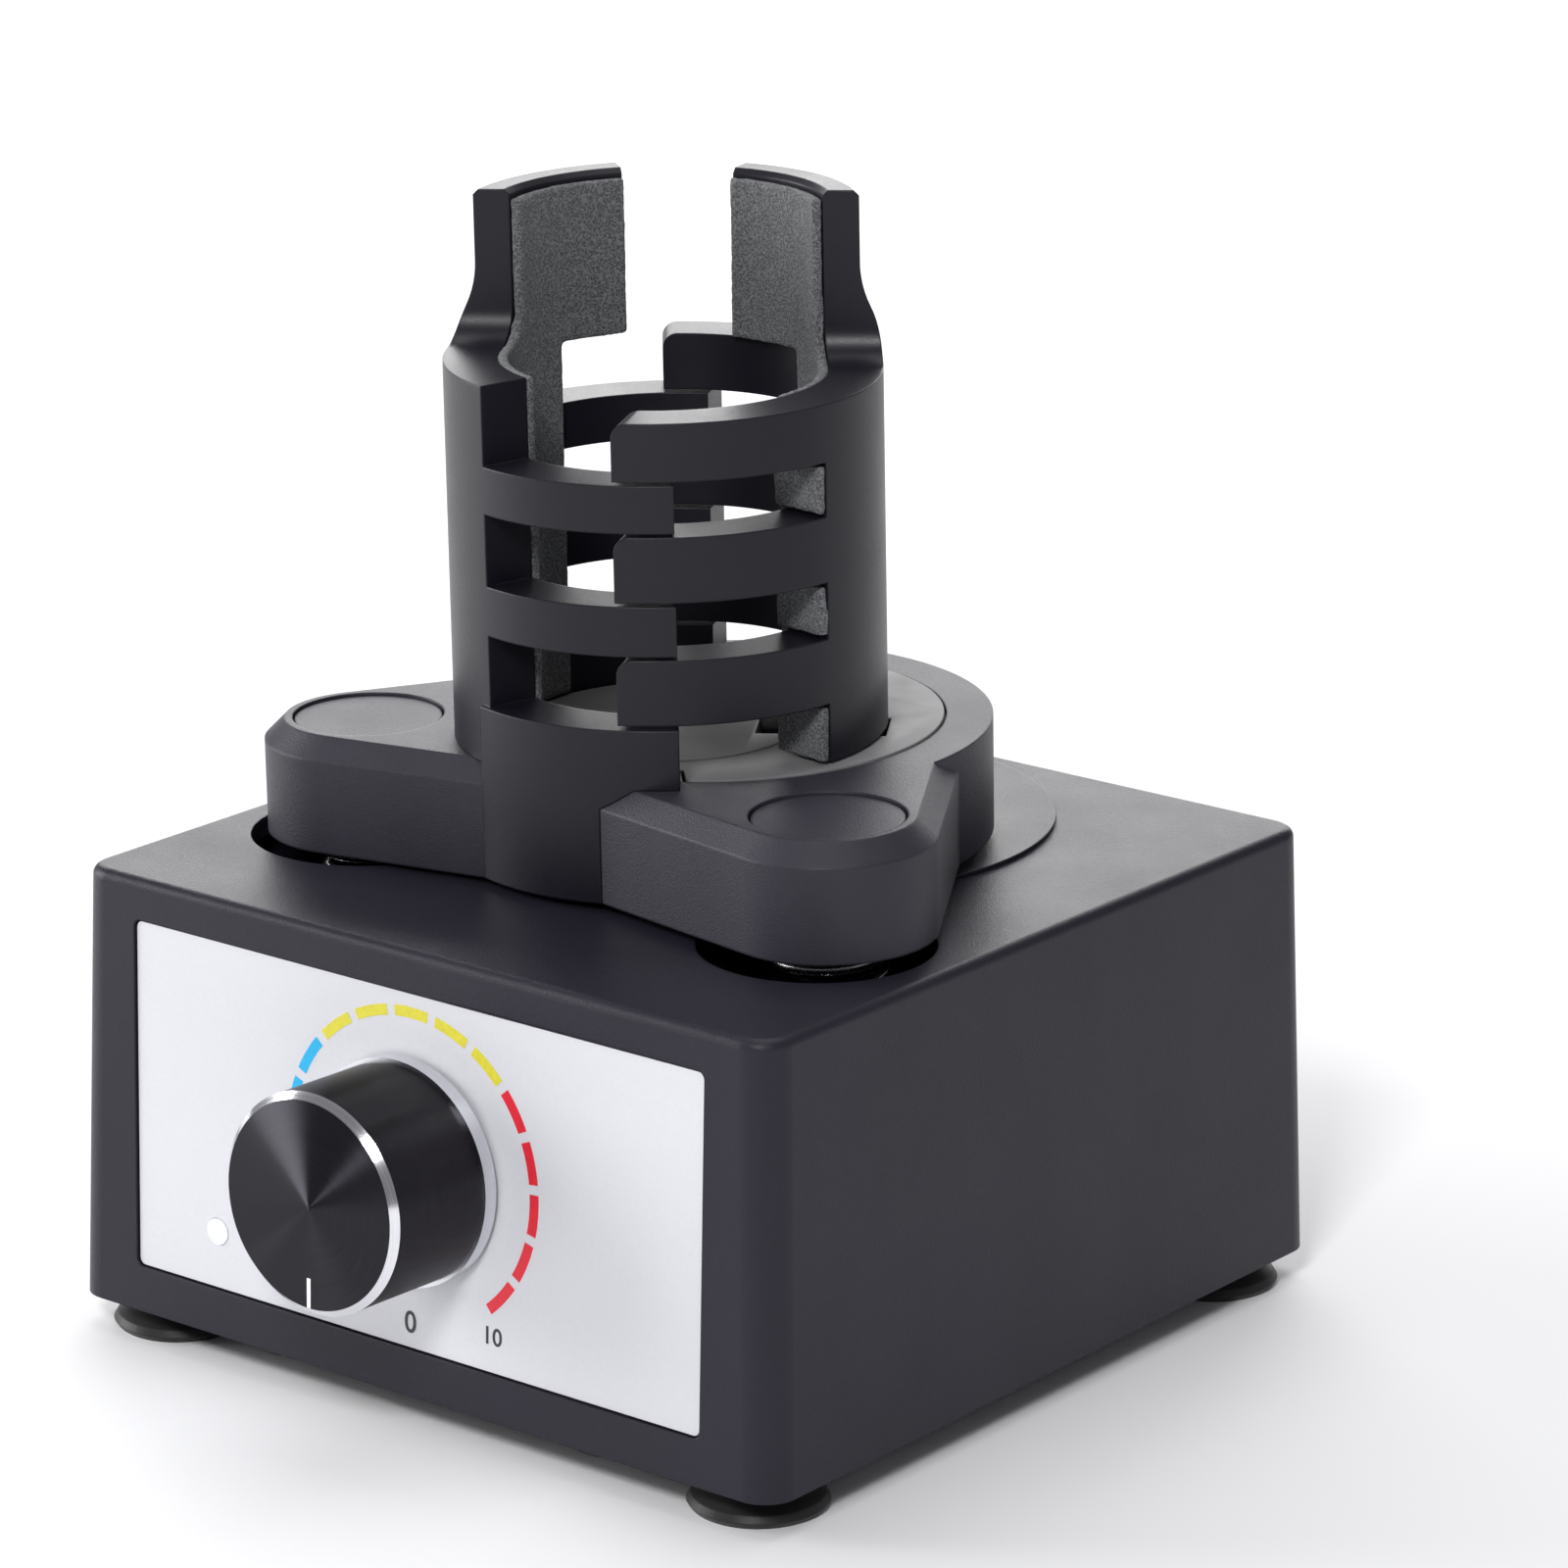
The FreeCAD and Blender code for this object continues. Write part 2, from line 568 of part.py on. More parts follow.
# Drive cover with the cup that carries the motor
def make_cover():
    cup_outer = CUP_RADIUS + CUP_WALL
    floor_low = CUP_FLOOR_TOP - CUP_FLOOR_THICK
    top = ROOF + COVER_PROUD
    cover = disc(COVER_RADIUS, ROOF, top, 0, COVER_Y)
    cover = cover.fuse(disc(CUP_PLUG_RADIUS, ROOF - COVER_DEPTH, ROOF, 0, COVER_Y))
    cover = cover.fuse(disc(cup_outer, floor_low, ROOF, 0, MOTOR_AXIS_Y))
    cover = cover.cut(disc(CUP_RADIUS, CUP_FLOOR_TOP, top + 1, 0, MOTOR_AXIS_Y))
    cover = cover.cut(disc(MOTOR_BOSS_RADIUS + PLAY, floor_low - 1, CUP_FLOOR_TOP + 1, 0, MOTOR_AXIS_Y))
    screws = []
    for side in (-1, 1):
        x = side * MOTOR_SCREW_REACH
        cover = cover.cut(disc(SMALL_SHANK + PLAY, floor_low - 1, CUP_FLOOR_TOP + 1, x, MOTOR_AXIS_Y))
        screws.append(screw(SMALL_SHANK, CUP_FLOOR_THICK + 2.5, MOTOR_SCREW_HEAD, SMALL_HEAD_HEIGHT,
                            x, MOTOR_AXIS_Y, CUP_FLOOR_TOP, up=False))
    pieces["drive_cover"] = one_solid(cover)
    pieces["motor_screws"] = Part.makeCompound(screws)


def make_motor():
    inner = MOTOR_RADIUS - MOTOR_SHELL
    can = disc(MOTOR_RADIUS, MOTOR_BOTTOM, MOTOR_TOP).cut(disc(inner, MOTOR_BOTTOM - 1, MOTOR_TOP - 3.0))
    can = can.fuse(disc(MOTOR_BOSS_RADIUS, MOTOR_TOP - 3.0, MOTOR_TOP + MOTOR_BOSS_HEIGHT))
    can = can.cut(disc(SHAFT_RADIUS + RUNNING_PLAY, MOTOR_TOP - 5, MOTOR_TOP + 5))
    for side in (-1, 1):
        can = can.cut(disc(SMALL_SHANK + RUNNING_PLAY, MOTOR_TOP - 4, MOTOR_TOP + 1,
                           side * MOTOR_SCREW_REACH, 0))
    can.translate(V(0, MOTOR_AXIS_Y, 0))
    pieces["motor_can"] = one_solid(can)

    middle = (MOTOR_BOTTOM + END_CAP_THICK + MOTOR_TOP - 3.0) / 2
    magnets = []
    for azimuth in (0, 180):
        magnets.append(sector(inner - RUNNING_PLAY, inner - MAGNET_THICK, middle - MAGNET_LENGTH / 2,
                              middle + MAGNET_LENGTH / 2, azimuth - MAGNET_SPAN / 2,
                              azimuth + MAGNET_SPAN / 2,
                              0, MOTOR_AXIS_Y))
    pieces["motor_magnets"] = Part.makeCompound(magnets)

    cap = disc(inner - RUNNING_PLAY, MOTOR_BOTTOM, MOTOR_BOTTOM + END_CAP_THICK, 0, MOTOR_AXIS_Y)
    cap = cap.cut(disc(SHAFT_RADIUS + RUNNING_PLAY, MOTOR_BOTTOM + 0.6, MOTOR_TOP, 0, MOTOR_AXIS_Y))
    tags = []
    for side in (-1, 1):
        x = side * inner * 0.55
        tags.append(block(x - 0.4, x + 0.4, MOTOR_AXIS_Y - 1.6, MOTOR_AXIS_Y + 1.6,
                          MOTOR_BOTTOM - TAG_DROP, MOTOR_BOTTOM))
    pieces["motor_end_cap"] = cap
    pieces["motor_tags"] = Part.makeCompound(tags)

    rotor = disc(ROTOR_RADIUS, middle - ROTOR_LENGTH / 2, middle + ROTOR_LENGTH / 2)
    for i in range(3):
        slot = block(-0.8, 0.8, -ROTOR_RADIUS - 1, -ROTOR_RADIUS * 0.45, MOTOR_BOTTOM, MOTOR_TOP)
        slot.rotate(V(0, 0, 0), V(0, 0, 1), 120 * i)
        rotor = rotor.cut(slot)
    rotor = rotor.fuse(disc(SHAFT_RADIUS, MOTOR_BOTTOM + 0.8, SHAFT_TOP))
    rotor.translate(V(0, MOTOR_AXIS_Y, 0))
    pieces["motor_rotor"] = one_solid(rotor)


# Crank: hub on the motor shaft, inclined pin, counterweight and bearing
def make_crank():
    hub = disc(HUB_RADIUS, HUB_BOTTOM, HUB_TOP, 0, MOTOR_AXIS_Y)
    pin = disc(SHOULDER_RADIUS, HUB_TOP - 1, BEARING_BOTTOM).fuse(disc(PIN_RADIUS - RUNNING_PLAY,
                                                                       HUB_TOP, PIN_TOP))
    hub = hub.fuse(on_platform(pin))
    hub = hub.cut(disc(SHAFT_RADIUS + RUNNING_PLAY, HUB_BOTTOM - 1, SHAFT_TOP + 0.2, 0, MOTOR_AXIS_Y))
    grub_up = (HUB_BOTTOM + WEIGHT_LOW + WEIGHT_HIGH + HUB_TOP) / 4
    tunnel = Part.makeCylinder(GRUB_RADIUS, HUB_RADIUS + 1, V(0, MOTOR_AXIS_Y, grub_up), V(0, -1, 0))
    hub = hub.cut(tunnel)
    pieces["crank_hub"] = one_solid(hub)

    grub_length = HUB_RADIUS - SHAFT_RADIUS - 0.5
    start = V(0, MOTOR_AXIS_Y - SHAFT_RADIUS, grub_up)
    pieces["hub_grub_screw"] = Part.makeCylinder(GRUB_RADIUS - RUNNING_PLAY, grub_length, start, V(0, -1, 0))

    pieces["counterweight"] = sector(WEIGHT_RADIUS, HUB_RADIUS + RUNNING_PLAY, WEIGHT_LOW, WEIGHT_HIGH,
                                     95, 265, 0, MOTOR_AXIS_Y)

    low = BEARING_BOTTOM
    high = BEARING_BOTTOM + BEARING_WIDTH
    pieces["bearing_inner_ring"] = on_platform(ring(PIN_RADIUS + RACE_THICK, PIN_RADIUS, low, high))
    outer = ring(BEARING_OUTER, BEARING_OUTER - RACE_THICK, low, high)
    pieces["bearing_outer_ring"] = on_platform(outer)
    reach = (PIN_RADIUS + BEARING_OUTER) / 2
    balls = []
    for i in range(BALL_COUNT):
        turn = 2 * math.pi * i / BALL_COUNT
        balls.append(Part.makeSphere(BALL_RADIUS,
                                     V(reach * math.cos(turn), reach * math.sin(turn), BEARING_MIDDLE)))
    pieces["bearing_balls"] = on_platform(Part.makeCompound(balls))


# Platform: outline of both arms for a given arm radius, between two heights
def arm_wire(radius, z):
    front = math.radians(-ARM_FRONT_SLOPE)
    back = math.radians(ARM_BACK_SLOPE)
    front_way = V(math.cos(front), math.sin(front), 0)
    front_out = V(math.sin(front), -math.cos(front), 0)
    back_way = V(math.cos(back), math.sin(back), 0)
    back_out = V(math.sin(back), -math.cos(back), 0)
    centre = V(ARM_ACROSS, ARM_BACK, z)
    start = centre + front_out * radius
    end = centre + back_out * radius
    middle_out = front_out + back_out
    middle_out.normalize()
    apex = start - front_way * (start.x / front_way.x)
    inner = end + back_way * (BOSS_RADIUS * 0.95)
    right = [Part.makeLine(apex, start), Part.Arc(start, centre + middle_out * radius, end).toShape(),
             Part.makeLine(end, inner)]
    left = []
    for edge in right:
        left.append(edge.mirror(V(0, 0, 0), V(1, 0, 0)))
    closing = Part.makeLine(inner, V(-inner.x, inner.y, z))
    return Part.Wire(Part.__sortEdges__(right + left + [closing]))


def arms(radius, top_radius, low, high):
    shape = Part.makeLoft([arm_wire(radius, low), arm_wire(top_radius, high)], True, True)
    shape.translate(V(ARM_SHIFT, 0, 0))
    return shape


def platform_solid(inset, low, high):
    """Platform outline as a plain prism, inset from its walls."""
    boss = disc(BOSS_RADIUS - inset, low, high)
    boss = boss.cut(block(-BOSS_RADIUS, BOSS_RADIUS, -BOSS_RADIUS - 1, -BOSS_FRONT + inset, low - 1,
                          high + 1))
    return boss.fuse(arms(ARM_RADIUS - inset, ARM_RADIUS - inset, low, high))


def jaw_sector(outer, inner, low, high, start, end):
    """Ring sector about the jaws' axis; heights count from the platform's top."""
    return sector(outer, inner, PLATFORM_TOP + low, PLATFORM_TOP + high, start, end, JAW_X, JAW_Y)


def along_jaws(shape):
    """Turn a piece built with X along the closing way and Y away from the seam onto the jaws."""
    shape.rotate(V(0, 0, 0), V(0, 0, 1), CLOSING_AZIMUTH - 90)
    shape.translate(V(JAW_X, JAW_Y, PLATFORM_TOP))
    return shape


def fixed_range(half):
    middle = CLOSING_AZIMUTH - 180
    return middle - half, middle + half


def slide_range(half):
    return CLOSING_AZIMUTH - half, CLOSING_AZIMUTH + half


def jaw_slot(play):
    end = TONGUE_END + play
    start = TONGUE_END - TONGUE_LENGTH - JAW_TRAVEL - play
    half = TONGUE_WIDTH / 2 + play
    return along_jaws(block(start, end, -half, half, -DECK_THICK - 3, 3))


def make_platform():
    body = platform_solid(0, PLATFORM_BOTTOM, PLATFORM_TOP - ARM_BEVEL)
    boss = disc(BOSS_RADIUS, PLATFORM_BOTTOM, PLATFORM_TOP)
    boss = boss.cut(block(-BOSS_RADIUS, BOSS_RADIUS, -BOSS_RADIUS - 1, -BOSS_FRONT + ARM_BEVEL, 0, 100))
    body = body.fuse(boss)
    body = body.fuse(arms(ARM_RADIUS, ARM_RADIUS - ARM_BEVEL, PLATFORM_TOP - ARM_BEVEL, PLATFORM_TOP))
    hollow = disc(BOSS_RADIUS - BOSS_WALL, PLATFORM_BOTTOM - 1, DECK_UNDER)
    hollow = hollow.cut(block(-BOSS_RADIUS, BOSS_RADIUS, -BOSS_RADIUS - 1, -BOSS_FRONT + BOSS_WALL, 0, 100))
    hollow = hollow.fuse(arms(ARM_RADIUS - ARM_WALL, ARM_RADIUS - ARM_WALL, PLATFORM_BOTTOM - 1, DECK_UNDER))
    body = body.cut(hollow)
    for name, side in (("left", -1), ("right", 1)):
        x = ARM_SHIFT + side * ARM_ACROSS
        body = body.cut(disc(CAP_RADIUS + PLAY, DECK_UNDER - 1, PLATFORM_TOP + 1, x, ARM_BACK))
        cap = disc(CAP_RADIUS, DECK_UNDER, PLATFORM_TOP - CAP_SINK, x, ARM_BACK)
        cap = cap.fuse(disc(CAP_FLANGE, DECK_UNDER - CAP_FLANGE_THICK, DECK_UNDER, x, ARM_BACK))
        pieces["spring_cap_" + name] = on_platform(one_solid(cap))
    carrier = disc(CARRIER_RADIUS, CARRIER_BOTTOM, CARRIER_BOTTOM + CARRIER_THICK)
    carrier = carrier.fuse(disc(CARRIER_SEAT_RADIUS, CARRIER_BOTTOM, CARRIER_SEAT_TOP))
    carrier = carrier.cut(disc(BEARING_OUTER + RUNNING_PLAY, BEARING_BOTTOM, CARRIER_SEAT_TOP + 1))
    carrier = carrier.cut(disc(CARRIER_LIP, CARRIER_BOTTOM - 1, BEARING_BOTTOM + 1))
    screws = []
    for azimuth in POST_AZIMUTHS:
        spot = direction(azimuth) * POST_REACH
        body = body.fuse(disc(POST_RADIUS, CARRIER_BOTTOM + CARRIER_THICK, DECK_UNDER + 0.5, spot.x, spot.y))
        body = body.cut(disc(SMALL_SHANK + RUNNING_PLAY, 0, CARRIER_BOTTOM + CARRIER_THICK + 6, spot.x,
                             spot.y))
        carrier = carrier.cut(disc(SMALL_SHANK + PLAY, 0, 100, spot.x, spot.y))
        seat = CARRIER_BOTTOM + SMALL_HEAD_HEIGHT
        carrier = carrier.cut(disc(SMALL_HEAD + PLAY, 0, seat, spot.x, spot.y))
        screws.append(screw(SMALL_SHANK, CARRIER_SCREW_LENGTH, SMALL_HEAD, SMALL_HEAD_HEIGHT - 0.1,
                            spot.x, spot.y, seat))
    pieces["bearing_carrier"] = on_platform(one_solid(carrier))
    pieces["carrier_screws"] = on_platform(Part.makeCompound(screws))

    foot_start, foot_end = fixed_range(FIXED_FINGER_HALF)
    seat_ring = jaw_sector(JAW_OUTER + PLAY, JAW_INNER - PLAY, -MAT_DEPTH - 1, 3, foot_start - 1,
                           foot_end + 1)
    mat_gap = jaw_sector(JAW_OUTER + 2 * PLAY, JAW_INNER - 2 * PLAY, -MAT_DEPTH - 1, 3, foot_start - 2,
                         foot_end + 2)
    recess = disc(MAT_RADIUS + PLAY, PLATFORM_TOP - MAT_DEPTH, PLATFORM_TOP + 1).cut(seat_ring)
    body = body.cut(recess).cut(jaw_slot(PLAY))
    mat_top = PLATFORM_TOP - MAT_DEPTH + MAT_THICK
    mat = disc(MAT_RADIUS, PLATFORM_TOP - MAT_DEPTH, mat_top).cut(mat_gap)
    mat = mat.fuse(disc(PAD_RADIUS, PLATFORM_TOP - MAT_DEPTH, mat_top + PAD_RAISE, JAW_X, JAW_Y))
    edge = platform_solid(ARM_BEVEL + PLAY, PLATFORM_TOP - 3, PLATFORM_TOP + 3)
    pieces["platform_mat"] = on_platform(one_solid(mat.cut(jaw_slot(2 * PLAY)).common(edge)))
    jaw_screws = []
    for azimuth in FIXED_SCREW_AZIMUTHS:
        spot = V(JAW_X, JAW_Y, 0) + direction(azimuth) * ((JAW_OUTER + JAW_INNER) / 2)
        body = body.cut(disc(SMALL_SHANK + PLAY, DECK_UNDER - 1, PLATFORM_TOP + 1, spot.x, spot.y))
        jaw_screws.append(screw(SMALL_SHANK, DECK_THICK + 4.5, SMALL_HEAD, SMALL_HEAD_HEIGHT,
                                spot.x, spot.y, DECK_UNDER))
    pieces["fixed_jaw_screws"] = on_platform(Part.makeCompound(jaw_screws))
    pieces["platform_body"] = on_platform(one_solid(body))


# Jaws
def wall_profile(low, high):
    """Section of a jaw wall from its foot to the top of the wing, flared inwards above the lip."""
    shift = (JAW_OUTER - WING_OUTER) / 2
    rise = FLARE_HEIGHT / 2
    bend = (shift * shift + rise * rise) / (2 * shift)
    half = math.asin(rise / bend) / 2
    start = PLATFORM_TOP + SLIDE_LIP + FLARE_START
    end = start + FLARE_HEIGHT
    base = PLATFORM_TOP + low
    top = PLATFORM_TOP + high
    lower = (JAW_OUTER - bend + bend * math.cos(half), start + bend * math.sin(half), "arc")
    upper = (WING_OUTER + bend - bend * math.cos(half), end - bend * math.sin(half), "arc")
    return [(JAW_INNER, base), (JAW_OUTER, base), (JAW_OUTER, start), lower,
            (JAW_OUTER - shift, start + rise),
            upper, (WING_OUTER, end), (WING_OUTER, top - WING_BEVEL), (WING_OUTER - WING_BEVEL, top),
            (JAW_INNER + WING_BEVEL, top), (JAW_INNER, top - WING_BEVEL)]


def wing_cutter(lip):
    """Everything above the lip and in front of the wings, with a rounded root."""
    far = 2 * JAW_OUTER
    root = WING_ROOT
    bend = root * (1 - math.sqrt(0.5))
    front = -WING_FRONT
    edges = [Part.makeLine(V(0, front, 2 * WING_TOP), V(0, front, lip + root)),
             Part.Arc(V(0, front, lip + root), V(0, front - bend, lip + bend),
                      V(0, front - root, lip)).toShape(),
             Part.makeLine(V(0, front - root, lip), V(0, -far, lip)),
             Part.makeLine(V(0, -far, lip), V(0, -far, 2 * WING_TOP)),
             Part.makeLine(V(0, -far, 2 * WING_TOP), V(0, front, 2 * WING_TOP))]
    cutter = Part.Face(Part.Wire(edges)).extrude(V(2 * far, 0, 0))
    cutter.translate(V(-far, 0, 0))
    return along_jaws(cutter)


def tip_cutter(azimuth, top, way):
    """Rounds the upper corner of a finger's tip; way is 1 where the finger ends at the larger azimuth."""
    size = TIP_ROUND
    corner = Part.makeBox(2 * size, 2 * JAW_OUTER, 2 * size, V(-size, 0, -size))
    corner = corner.cut(Part.makeCylinder(size, 2 * JAW_OUTER, V(size, 0, -size), V(0, 1, 0)))
    corner = corner.cut(Part.makeBox(size, 2 * JAW_OUTER, size, V(size, 0, -size)))
    if way < 0:
        corner = corner.mirror(V(0, 0, 0), V(1, 0, 0))
    corner.rotate(V(0, 0, 0), V(0, 0, 1), azimuth + 180)
    corner.translate(V(JAW_X, JAW_Y, PLATFORM_TOP + top))
    return corner


def with_fingers(jaw, rows, limits):
    start, end = limits
    for low, high in rows:
        jaw = jaw.fuse(jaw_sector(JAW_OUTER, JAW_INNER, low, high, start, end))
    return jaw


def make_jaws():
    r0, r1, r2, r3, r4 = ROW_HEIGHTS
    fixed_rows = [(0.0, r0), (r1 + FACE_PLAY, r2), (r3 + FACE_PLAY, r4)]
    slide_rows = [(r0 + FACE_PLAY, r1), (r2 + FACE_PLAY, r3), (r4 + FACE_PLAY, SLIDE_LIP)]

    start, end = fixed_range(FIXED_WALL_HALF)
    wall = turned(wall_profile(0, WING_TOP), end - start, start, JAW_X, JAW_Y)
    back_end = CLOSING_AZIMUTH - 180 - WING_BACK_HALF
    over = SLIDE_LIP + FACE_PLAY
    overhang = turned(wall_profile(over, WING_TOP), start - back_end + 1, back_end, JAW_X, JAW_Y)
    jaw = wall.fuse(overhang).cut(wing_cutter(FIXED_LIP))
    jaw = with_fingers(jaw, fixed_rows, fixed_range(FIXED_FINGER_HALF))
    apron = jaw_sector(APRON_OUTER, JAW_INNER, PLATFORM_BOTTOM - PLATFORM_TOP, r0, APRON_START, APRON_END)
    hold = platform_solid(0, PLATFORM_BOTTOM - 1, PLATFORM_TOP - ARM_BEVEL)
    hold = hold.fuse(arms(ARM_RADIUS, ARM_RADIUS - ARM_BEVEL, PLATFORM_TOP - ARM_BEVEL, PLATFORM_TOP))
    jaw = jaw.fuse(apron.cut(hold))
    for azimuth in FIXED_SCREW_AZIMUTHS:
        spot = V(JAW_X, JAW_Y, 0) + direction(azimuth) * ((JAW_OUTER + JAW_INNER) / 2)
        jaw = jaw.cut(disc(SMALL_SHANK + RUNNING_PLAY, PLATFORM_TOP - 1, PLATFORM_TOP + 5, spot.x, spot.y))
    pieces["fixed_jaw"] = on_platform(one_solid(jaw))

    start, end = slide_range(SLIDE_WALL_HALF)
    wall = turned(wall_profile(SLIDE_LIFT, WING_TOP), end - start, start, JAW_X, JAW_Y)
    back_end = CLOSING_AZIMUTH + WING_BACK_HALF
    overhang = turned(wall_profile(SLIDE_LIP - 1, WING_TOP), back_end - end + 1, end - 1, JAW_X, JAW_Y)
    jaw = wall.fuse(overhang).cut(wing_cutter(SLIDE_LIP))
    jaw = with_fingers(jaw, slide_rows, slide_range(SLIDE_FINGER_HALF))
    first, last = slide_range(SLIDE_FINGER_HALF)
    for low, high in slide_rows:
        jaw = jaw.cut(tip_cutter(first, high, -1))
        jaw = jaw.cut(tip_cutter(last, high, 1))
    half = TONGUE_WIDTH / 2
    tongue = along_jaws(block(TONGUE_END - TONGUE_LENGTH, TONGUE_END, -half, half, -DECK_THICK - 0.2,
                              SLIDE_LIFT + 2))
    jaw = jaw.fuse(tongue)
    screw_at = TONGUE_END - TONGUE_LENGTH / 2
    thread = along_jaws(disc(SMALL_SHANK + RUNNING_PLAY, -DECK_THICK - 1, 1.5, screw_at, 0))
    pieces["sliding_jaw"] = on_platform(one_solid(jaw.cut(thread)))

    low = -DECK_THICK - 0.2 - KEEPER_THICK
    keeper = block(screw_at - KEEPER_LENGTH / 2, screw_at + KEEPER_LENGTH / 2, -KEEPER_WIDTH / 2,
                   KEEPER_WIDTH / 2,
                   low, low + KEEPER_THICK)
    keeper = keeper.cut(disc(SMALL_SHANK + PLAY, low - 1, low + 5, screw_at, 0))
    keeper = keeper.cut(disc(SMALL_HEAD + PLAY, low - 1, low + SMALL_HEAD_HEIGHT, screw_at, 0))
    pieces["jaw_keeper"] = on_platform(along_jaws(keeper))
    keeper_screw = screw(SMALL_SHANK, 5.5, SMALL_HEAD, SMALL_HEAD_HEIGHT, screw_at, 0,
                         low + SMALL_HEAD_HEIGHT)
    pieces["keeper_screw"] = on_platform(along_jaws(keeper_screw))

    make_foams(fixed_rows)


def make_foams(fixed_rows):
    outer = JAW_INNER - RUNNING_PLAY
    inner = outer - FOAM_THICK
    low = MAT_THICK - MAT_DEPTH + PLAY
    high = WING_TOP - 1.0
    start, end = fixed_range(FIXED_WALL_HALF)
    back_end = CLOSING_AZIMUTH - 180 - WING_BACK_HALF
    foam = jaw_sector(outer, inner, low, high, start, end)
    foam = foam.fuse(jaw_sector(outer, inner, SLIDE_LIP + FACE_PLAY, high, back_end, start + 1))
    pieces["foam_fixed"] = on_platform(one_solid(foam.cut(wing_cutter(FIXED_LIP))))

    low = SLIDE_LIFT
    start, end = slide_range(SLIDE_WALL_HALF)
    back_end = CLOSING_AZIMUTH + WING_BACK_HALF
    foam = jaw_sector(outer, inner, low, high, start, end)
    foam = foam.fuse(jaw_sector(outer, inner, SLIDE_LIP, high, end - 1, back_end)).cut(wing_cutter(SLIDE_LIP))
    for bottom, top in fixed_rows:
        bottom = max(bottom, SLIDE_LIFT)
        foam = foam.fuse(jaw_sector(JAW_OUTER, inner, bottom, top, start - FOAM_FLAP, start - 0.05))
        foam = foam.fuse(jaw_sector(outer, inner, bottom, top, start - 1, start + 1))
    pieces["foam_sliding"] = on_platform(one_solid(foam))


# Coil springs under the arms
def biarc(start, start_way, end, end_way):
    """Two arcs that leave start and reach end along the given unit ways."""
    span = end - start
    ways = start_way + end_way
    square = 2 * (1 - start_way.dot(end_way))
    linear = span.dot(ways)
    reach = (-linear + math.sqrt(linear * linear + square * span.dot(span))) / square
    first = start + start_way * reach
    second = end - end_way * reach
    joint = (first + second) * 0.5
    return [tangent_arc(start, first, joint), tangent_arc(joint, second, end)]


def tangent_arc(start, corner, end):
    middle = (start + end) * 0.5
    rise = corner - middle
    half = (start - middle).Length
    tangent = (corner - start).Length
    bulge = half * rise.Length / (tangent + half)
    return Part.Arc(start, middle + rise * (bulge / rise.Length), end).toShape()


def spring_tube(centre, low, high):
    """Unbroken wire: an upright end, a bend, quarter turns of the coil, and the same at the top."""
    bottom = low + SPRING_WIRE + SPRING_BEND
    top = high - SPRING_WIRE - SPRING_BEND
    quarters = 4 * SPRING_TURNS
    rise = (top - bottom) / quarters
    slope = 2 * rise / math.pi

    def place(quarter):
        turn = math.pi / 2 * quarter
        return centre + V(SPRING_RADIUS * math.cos(turn), SPRING_RADIUS * math.sin(turn),
                          bottom + rise * quarter)

    def way(quarter):
        turn = math.pi / 2 * quarter
        run = V(-SPRING_RADIUS * math.sin(turn), SPRING_RADIUS * math.cos(turn), slope)
        run.normalize()
        return run

    up = V(0, 0, 1)
    bend = SPRING_BEND / SPRING_RADIUS / (math.pi / 2)
    foot_top = place(-bend)
    foot_top.z = low + SPRING_WIRE
    head_foot = place(quarters + bend)
    head_foot.z = high - SPRING_WIRE
    edges = [Part.makeLine(foot_top - up * SPRING_WIRE, foot_top)]
    edges += biarc(foot_top, up, place(0), way(0))
    for quarter in range(quarters):
        edges += biarc(place(quarter), way(quarter), place(quarter + 1), way(quarter + 1))
    edges += biarc(place(quarters), way(quarters), head_foot, up)
    edges.append(Part.makeLine(head_foot, head_foot + up * SPRING_WIRE))
    path = Part.Wire(edges)
    circle = Part.Wire(Part.makeCircle(SPRING_WIRE / 2, foot_top - up * SPRING_WIRE, up))
    print("spring gap to itself", round(least_gap(path), 3))
    return path.makePipeShell([circle], True, False)


def least_gap(path):
    """Least distance between turns of the wire's surface, on points a fraction of a wire apart."""
    points = path.discretize(Distance=SPRING_WIRE / 4)
    step = path.Length / (len(points) - 1)
    skip = int(math.pi * SPRING_RADIUS / step)
    least = path.Length
    for i in range(len(points)):
        for j in range(i + skip, len(points)):
            least = min(least, (points[i] - points[j]).Length)
    return least - SPRING_WIRE


def make_springs():
    lean = direction(TILT_AZIMUTH)
    fall = math.tan(math.radians(TILT))
    for name, side in (("left", -1), ("right", 1)):
        reach = V(ARM_SHIFT + side * ARM_ACROSS, ARM_BACK, 0)
        high = DECK_UNDER - CAP_FLANGE_THICK - SPRING_END_PLAY
        high -= (reach.dot(lean) + SPRING_RADIUS + SPRING_WIRE) * fall
        centre = V(side * WELL_ACROSS, SPRING_Y, 0)
        pieces["spring_" + name] = spring_tube(centre, WELL_FLOOR_TOP, high)


def export():
    os.makedirs("parts", exist_ok=True)
    for name, shape in pieces.items():
        shape.translate(V(0, ORIGIN_Y, 0))
        solids = shape.Solids
        final = solids[0] if len(solids) == 1 else Part.makeCompound(solids)
        print(name, len(solids), round(final.Volume, 1), final.isValid())
        final.exportStep("parts/" + name + ".step")


make_housing()
make_bottom()
make_front()
make_electrics()
make_cover()
make_motor()
make_crank()
make_platform()
make_jaws()
make_springs()
export()
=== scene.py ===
import json
import math

import bpy
from mathutils import Matrix, Vector


